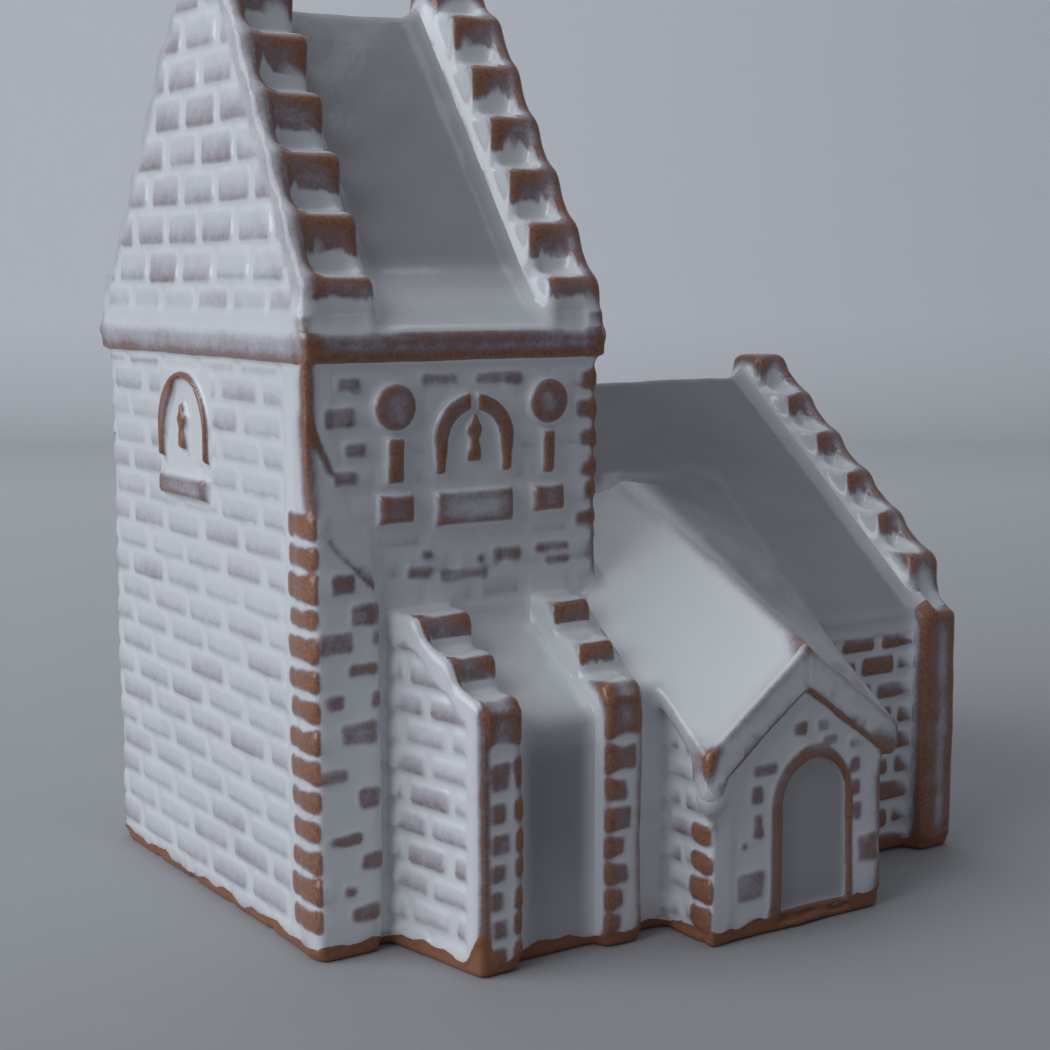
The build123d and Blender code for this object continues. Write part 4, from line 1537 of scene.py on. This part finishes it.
def glaze(name):
    """White glaze that thins to lavender on raised faces and breaks to brown clay on edges."""
    material, tree, shader = node_tree(name)
    broad = noise(tree, BROAD_NOISE)
    middle = noise(tree, MIDDLE_NOISE)
    fine = noise(tree, FINE_NOISE, 4.0)
    thin = attribute(tree, "thin")
    mottle = clamped(tree, scaled(tree, thin, 0.32, 4.0), STILL_SHARE)
    sway = scaled(tree, broad, 0.5, BROAD_SWAY)
    sway = swayed(tree, sway, middle, MIDDLE_SWAY)
    sway = swayed(tree, sway, fine, FINE_SWAY)
    level = maths(tree, "ADD", thin, maths(tree, "MULTIPLY", sway, mottle))
    glazed = glaze_colour(tree, thin, level, broad)
    foot = swayed(tree, attribute(tree, "bare"), middle, 1.0)
    foot = swayed(tree, foot, fine, 0.5)
    clay_share = maths(tree, "LESS_THAN", foot, 0.0)
    clay = ramp(tree, fine, CLAY_STOPS)
    tree.links.new(mixed(tree, clay_share, glazed, clay), shader.inputs["Base Color"])
    rough = maths(tree, "ADD", maths(tree, "MULTIPLY", level, 0.3), 0.1)
    rough = maths(tree, "MAXIMUM", rough, maths(tree, "MULTIPLY", clay_share, 0.8))
    tree.links.new(rough, shader.inputs["Roughness"])
    shader.inputs["Coat Weight"].default_value = 0.35
    shader.inputs["Coat Roughness"].default_value = 0.14
    bump = tree.nodes.new("ShaderNodeBump")
    bump.inputs["Strength"].default_value = 0.25
    bump.inputs["Distance"].default_value = 0.0003
    tree.links.new(middle, bump.inputs["Height"])
    tree.links.new(bump.outputs["Normal"], shader.inputs["Normal"])
    return material


# Stage, light and camera

CAMERA_TURN = math.radians(-33.81)
CAMERA_TILT = math.radians(90 - 7.64)
CAMERA_PLACE = (-0.19849, -0.29246, 0.11067)
CAMERA_LENS = 63.45
SWEEP_REACH = 3.0             # the studio's sweep, in metres: half its width, its wall's place and its cove
SWEEP_WALL = 0.95
SWEEP_COVE = 0.08
SWEEP_TURNS = 16
TABLE_LIGHT_STOPS = [(0.1, (0.28, 0.28, 0.295)), (0.9, (0.64, 0.65, 0.67))]    # from the front to the back, painted light: darker at the front, lighter towards the back
WALL_LIGHT_STOPS = [(0.0, (0.0, 0.0, 0.0)), (0.08, (0.25, 0.25, 0.26))]        # and up the wall, painted light: lighter on the wall than on the floor


def table_paint_with_painted_light():
    """Pale paint with painted light: darker at the front, lighter towards the sweep's wall and lighter again
    up it.
    """
    material, tree, shader = node_tree("pale_table_painted_light")
    shader.inputs["Roughness"].default_value = 0.75
    place = tree.nodes.new("ShaderNodeNewGeometry")
    apart = tree.nodes.new("ShaderNodeSeparateXYZ")
    tree.links.new(place.outputs["Position"], apart.inputs["Vector"])
    depth = maths(tree, "ADD", maths(tree, "MULTIPLY", apart.outputs["X"], -math.sin(CAMERA_TURN)),
                  maths(tree, "MULTIPLY", apart.outputs["Y"], math.cos(CAMERA_TURN)))
    depth = swayed(tree, maths(tree, "ADD", depth, 0.3), noise(tree, 60.0), 0.03)
    total = tree.nodes.new("ShaderNodeVectorMath")
    # painted light: the front-to-back falloff and the lift up the wall are painted into the colour
    tree.links.new(ramp(tree, depth, TABLE_LIGHT_STOPS), total.inputs[0])
    tree.links.new(ramp(tree, apart.outputs["Z"], WALL_LIGHT_STOPS), total.inputs[1])
    tree.links.new(total.outputs[0], shader.inputs["Base Color"])
    return material


def add_stage():
    """A floor that turns up into a wall behind the church."""
    section = [(-SWEEP_REACH, 0.0), (SWEEP_WALL - SWEEP_COVE, 0.0)]
    for i in range(1, SWEEP_TURNS + 1):
        angle = math.pi / 2 * i / SWEEP_TURNS
        section.append((SWEEP_WALL - SWEEP_COVE + SWEEP_COVE * math.sin(angle),
                        SWEEP_COVE * (1 - math.cos(angle))))
    section.append((SWEEP_WALL, SWEEP_REACH))
    points = []
    for side in (-SWEEP_REACH, SWEEP_REACH):
        for along, height in section:
            points.append((side * math.cos(CAMERA_TURN) - along * math.sin(CAMERA_TURN),
                           side * math.sin(CAMERA_TURN) + along * math.cos(CAMERA_TURN), height))
    count = len(section)
    faces = [(i, i + count, i + count + 1, i + 1) for i in range(count - 1)]
    mesh = bpy.data.meshes.new("studio_sweep")
    mesh.from_pydata(points, [], faces)
    mesh.shade_smooth()
    mesh.materials.append(table_paint_with_painted_light())
    sweep = bpy.data.objects.new("studio_sweep", mesh)
    bpy.context.scene.collection.objects.link(sweep)


def add_lamp(name, place, aim, size, power, colour):
    lamp = bpy.data.lights.new(name, "AREA")
    lamp.shape = "RECTANGLE"
    lamp.size, lamp.size_y = size
    lamp.energy = power
    lamp.color = colour
    holder = bpy.data.objects.new(name, lamp)
    holder.location = place
    way = np.subtract(aim, place)
    holder.rotation_euler = (math.atan2(math.hypot(way[0], way[1]), -way[2]), 0, math.atan2(-way[0], way[1]))
    bpy.context.scene.collection.objects.link(holder)


def add_light():
    world = bpy.data.worlds.new("soft_room")
    world.use_nodes = True
    sky = world.node_tree.nodes["Background"]
    sky.inputs["Color"].default_value = (0.86, 0.91, 1.0, 1)
    sky.inputs["Strength"].default_value = 0.20
    bpy.context.scene.world = world
    add_lamp("window", place=(-0.75, 0.05, 0.50), aim=(0, 0, 0.06), size=(0.9, 0.8), power=6.0,
             colour=(0.90, 0.95, 1.0))
    add_lamp("ceiling", place=(0.1, 0.2, 1.3), aim=(0, 0, 0), size=(1.2, 1.2), power=3.0,
             colour=(0.92, 0.96, 1.0))


def add_camera():
    scene = bpy.context.scene
    lens = bpy.data.cameras.new("camera")
    lens.sensor_width = 36.0
    lens.lens = CAMERA_LENS
    camera = bpy.data.objects.new("camera", lens)
    camera.location = CAMERA_PLACE
    camera.rotation_euler = (CAMERA_TILT, 0, CAMERA_TURN)
    scene.collection.objects.link(camera)
    scene.camera = camera


def build():
    materials = {slot: glaze(slot) for slot in SLOT_LEVELS}
    for subpart in frame["record"]["subparts"]:
        slot = subpart["material_slot"]
        add_piece(subpart["node"], materials[slot], slot)


build()
add_stage()
add_light()
add_camera()
bpy.context.scene.view_settings.view_transform = "Standard"
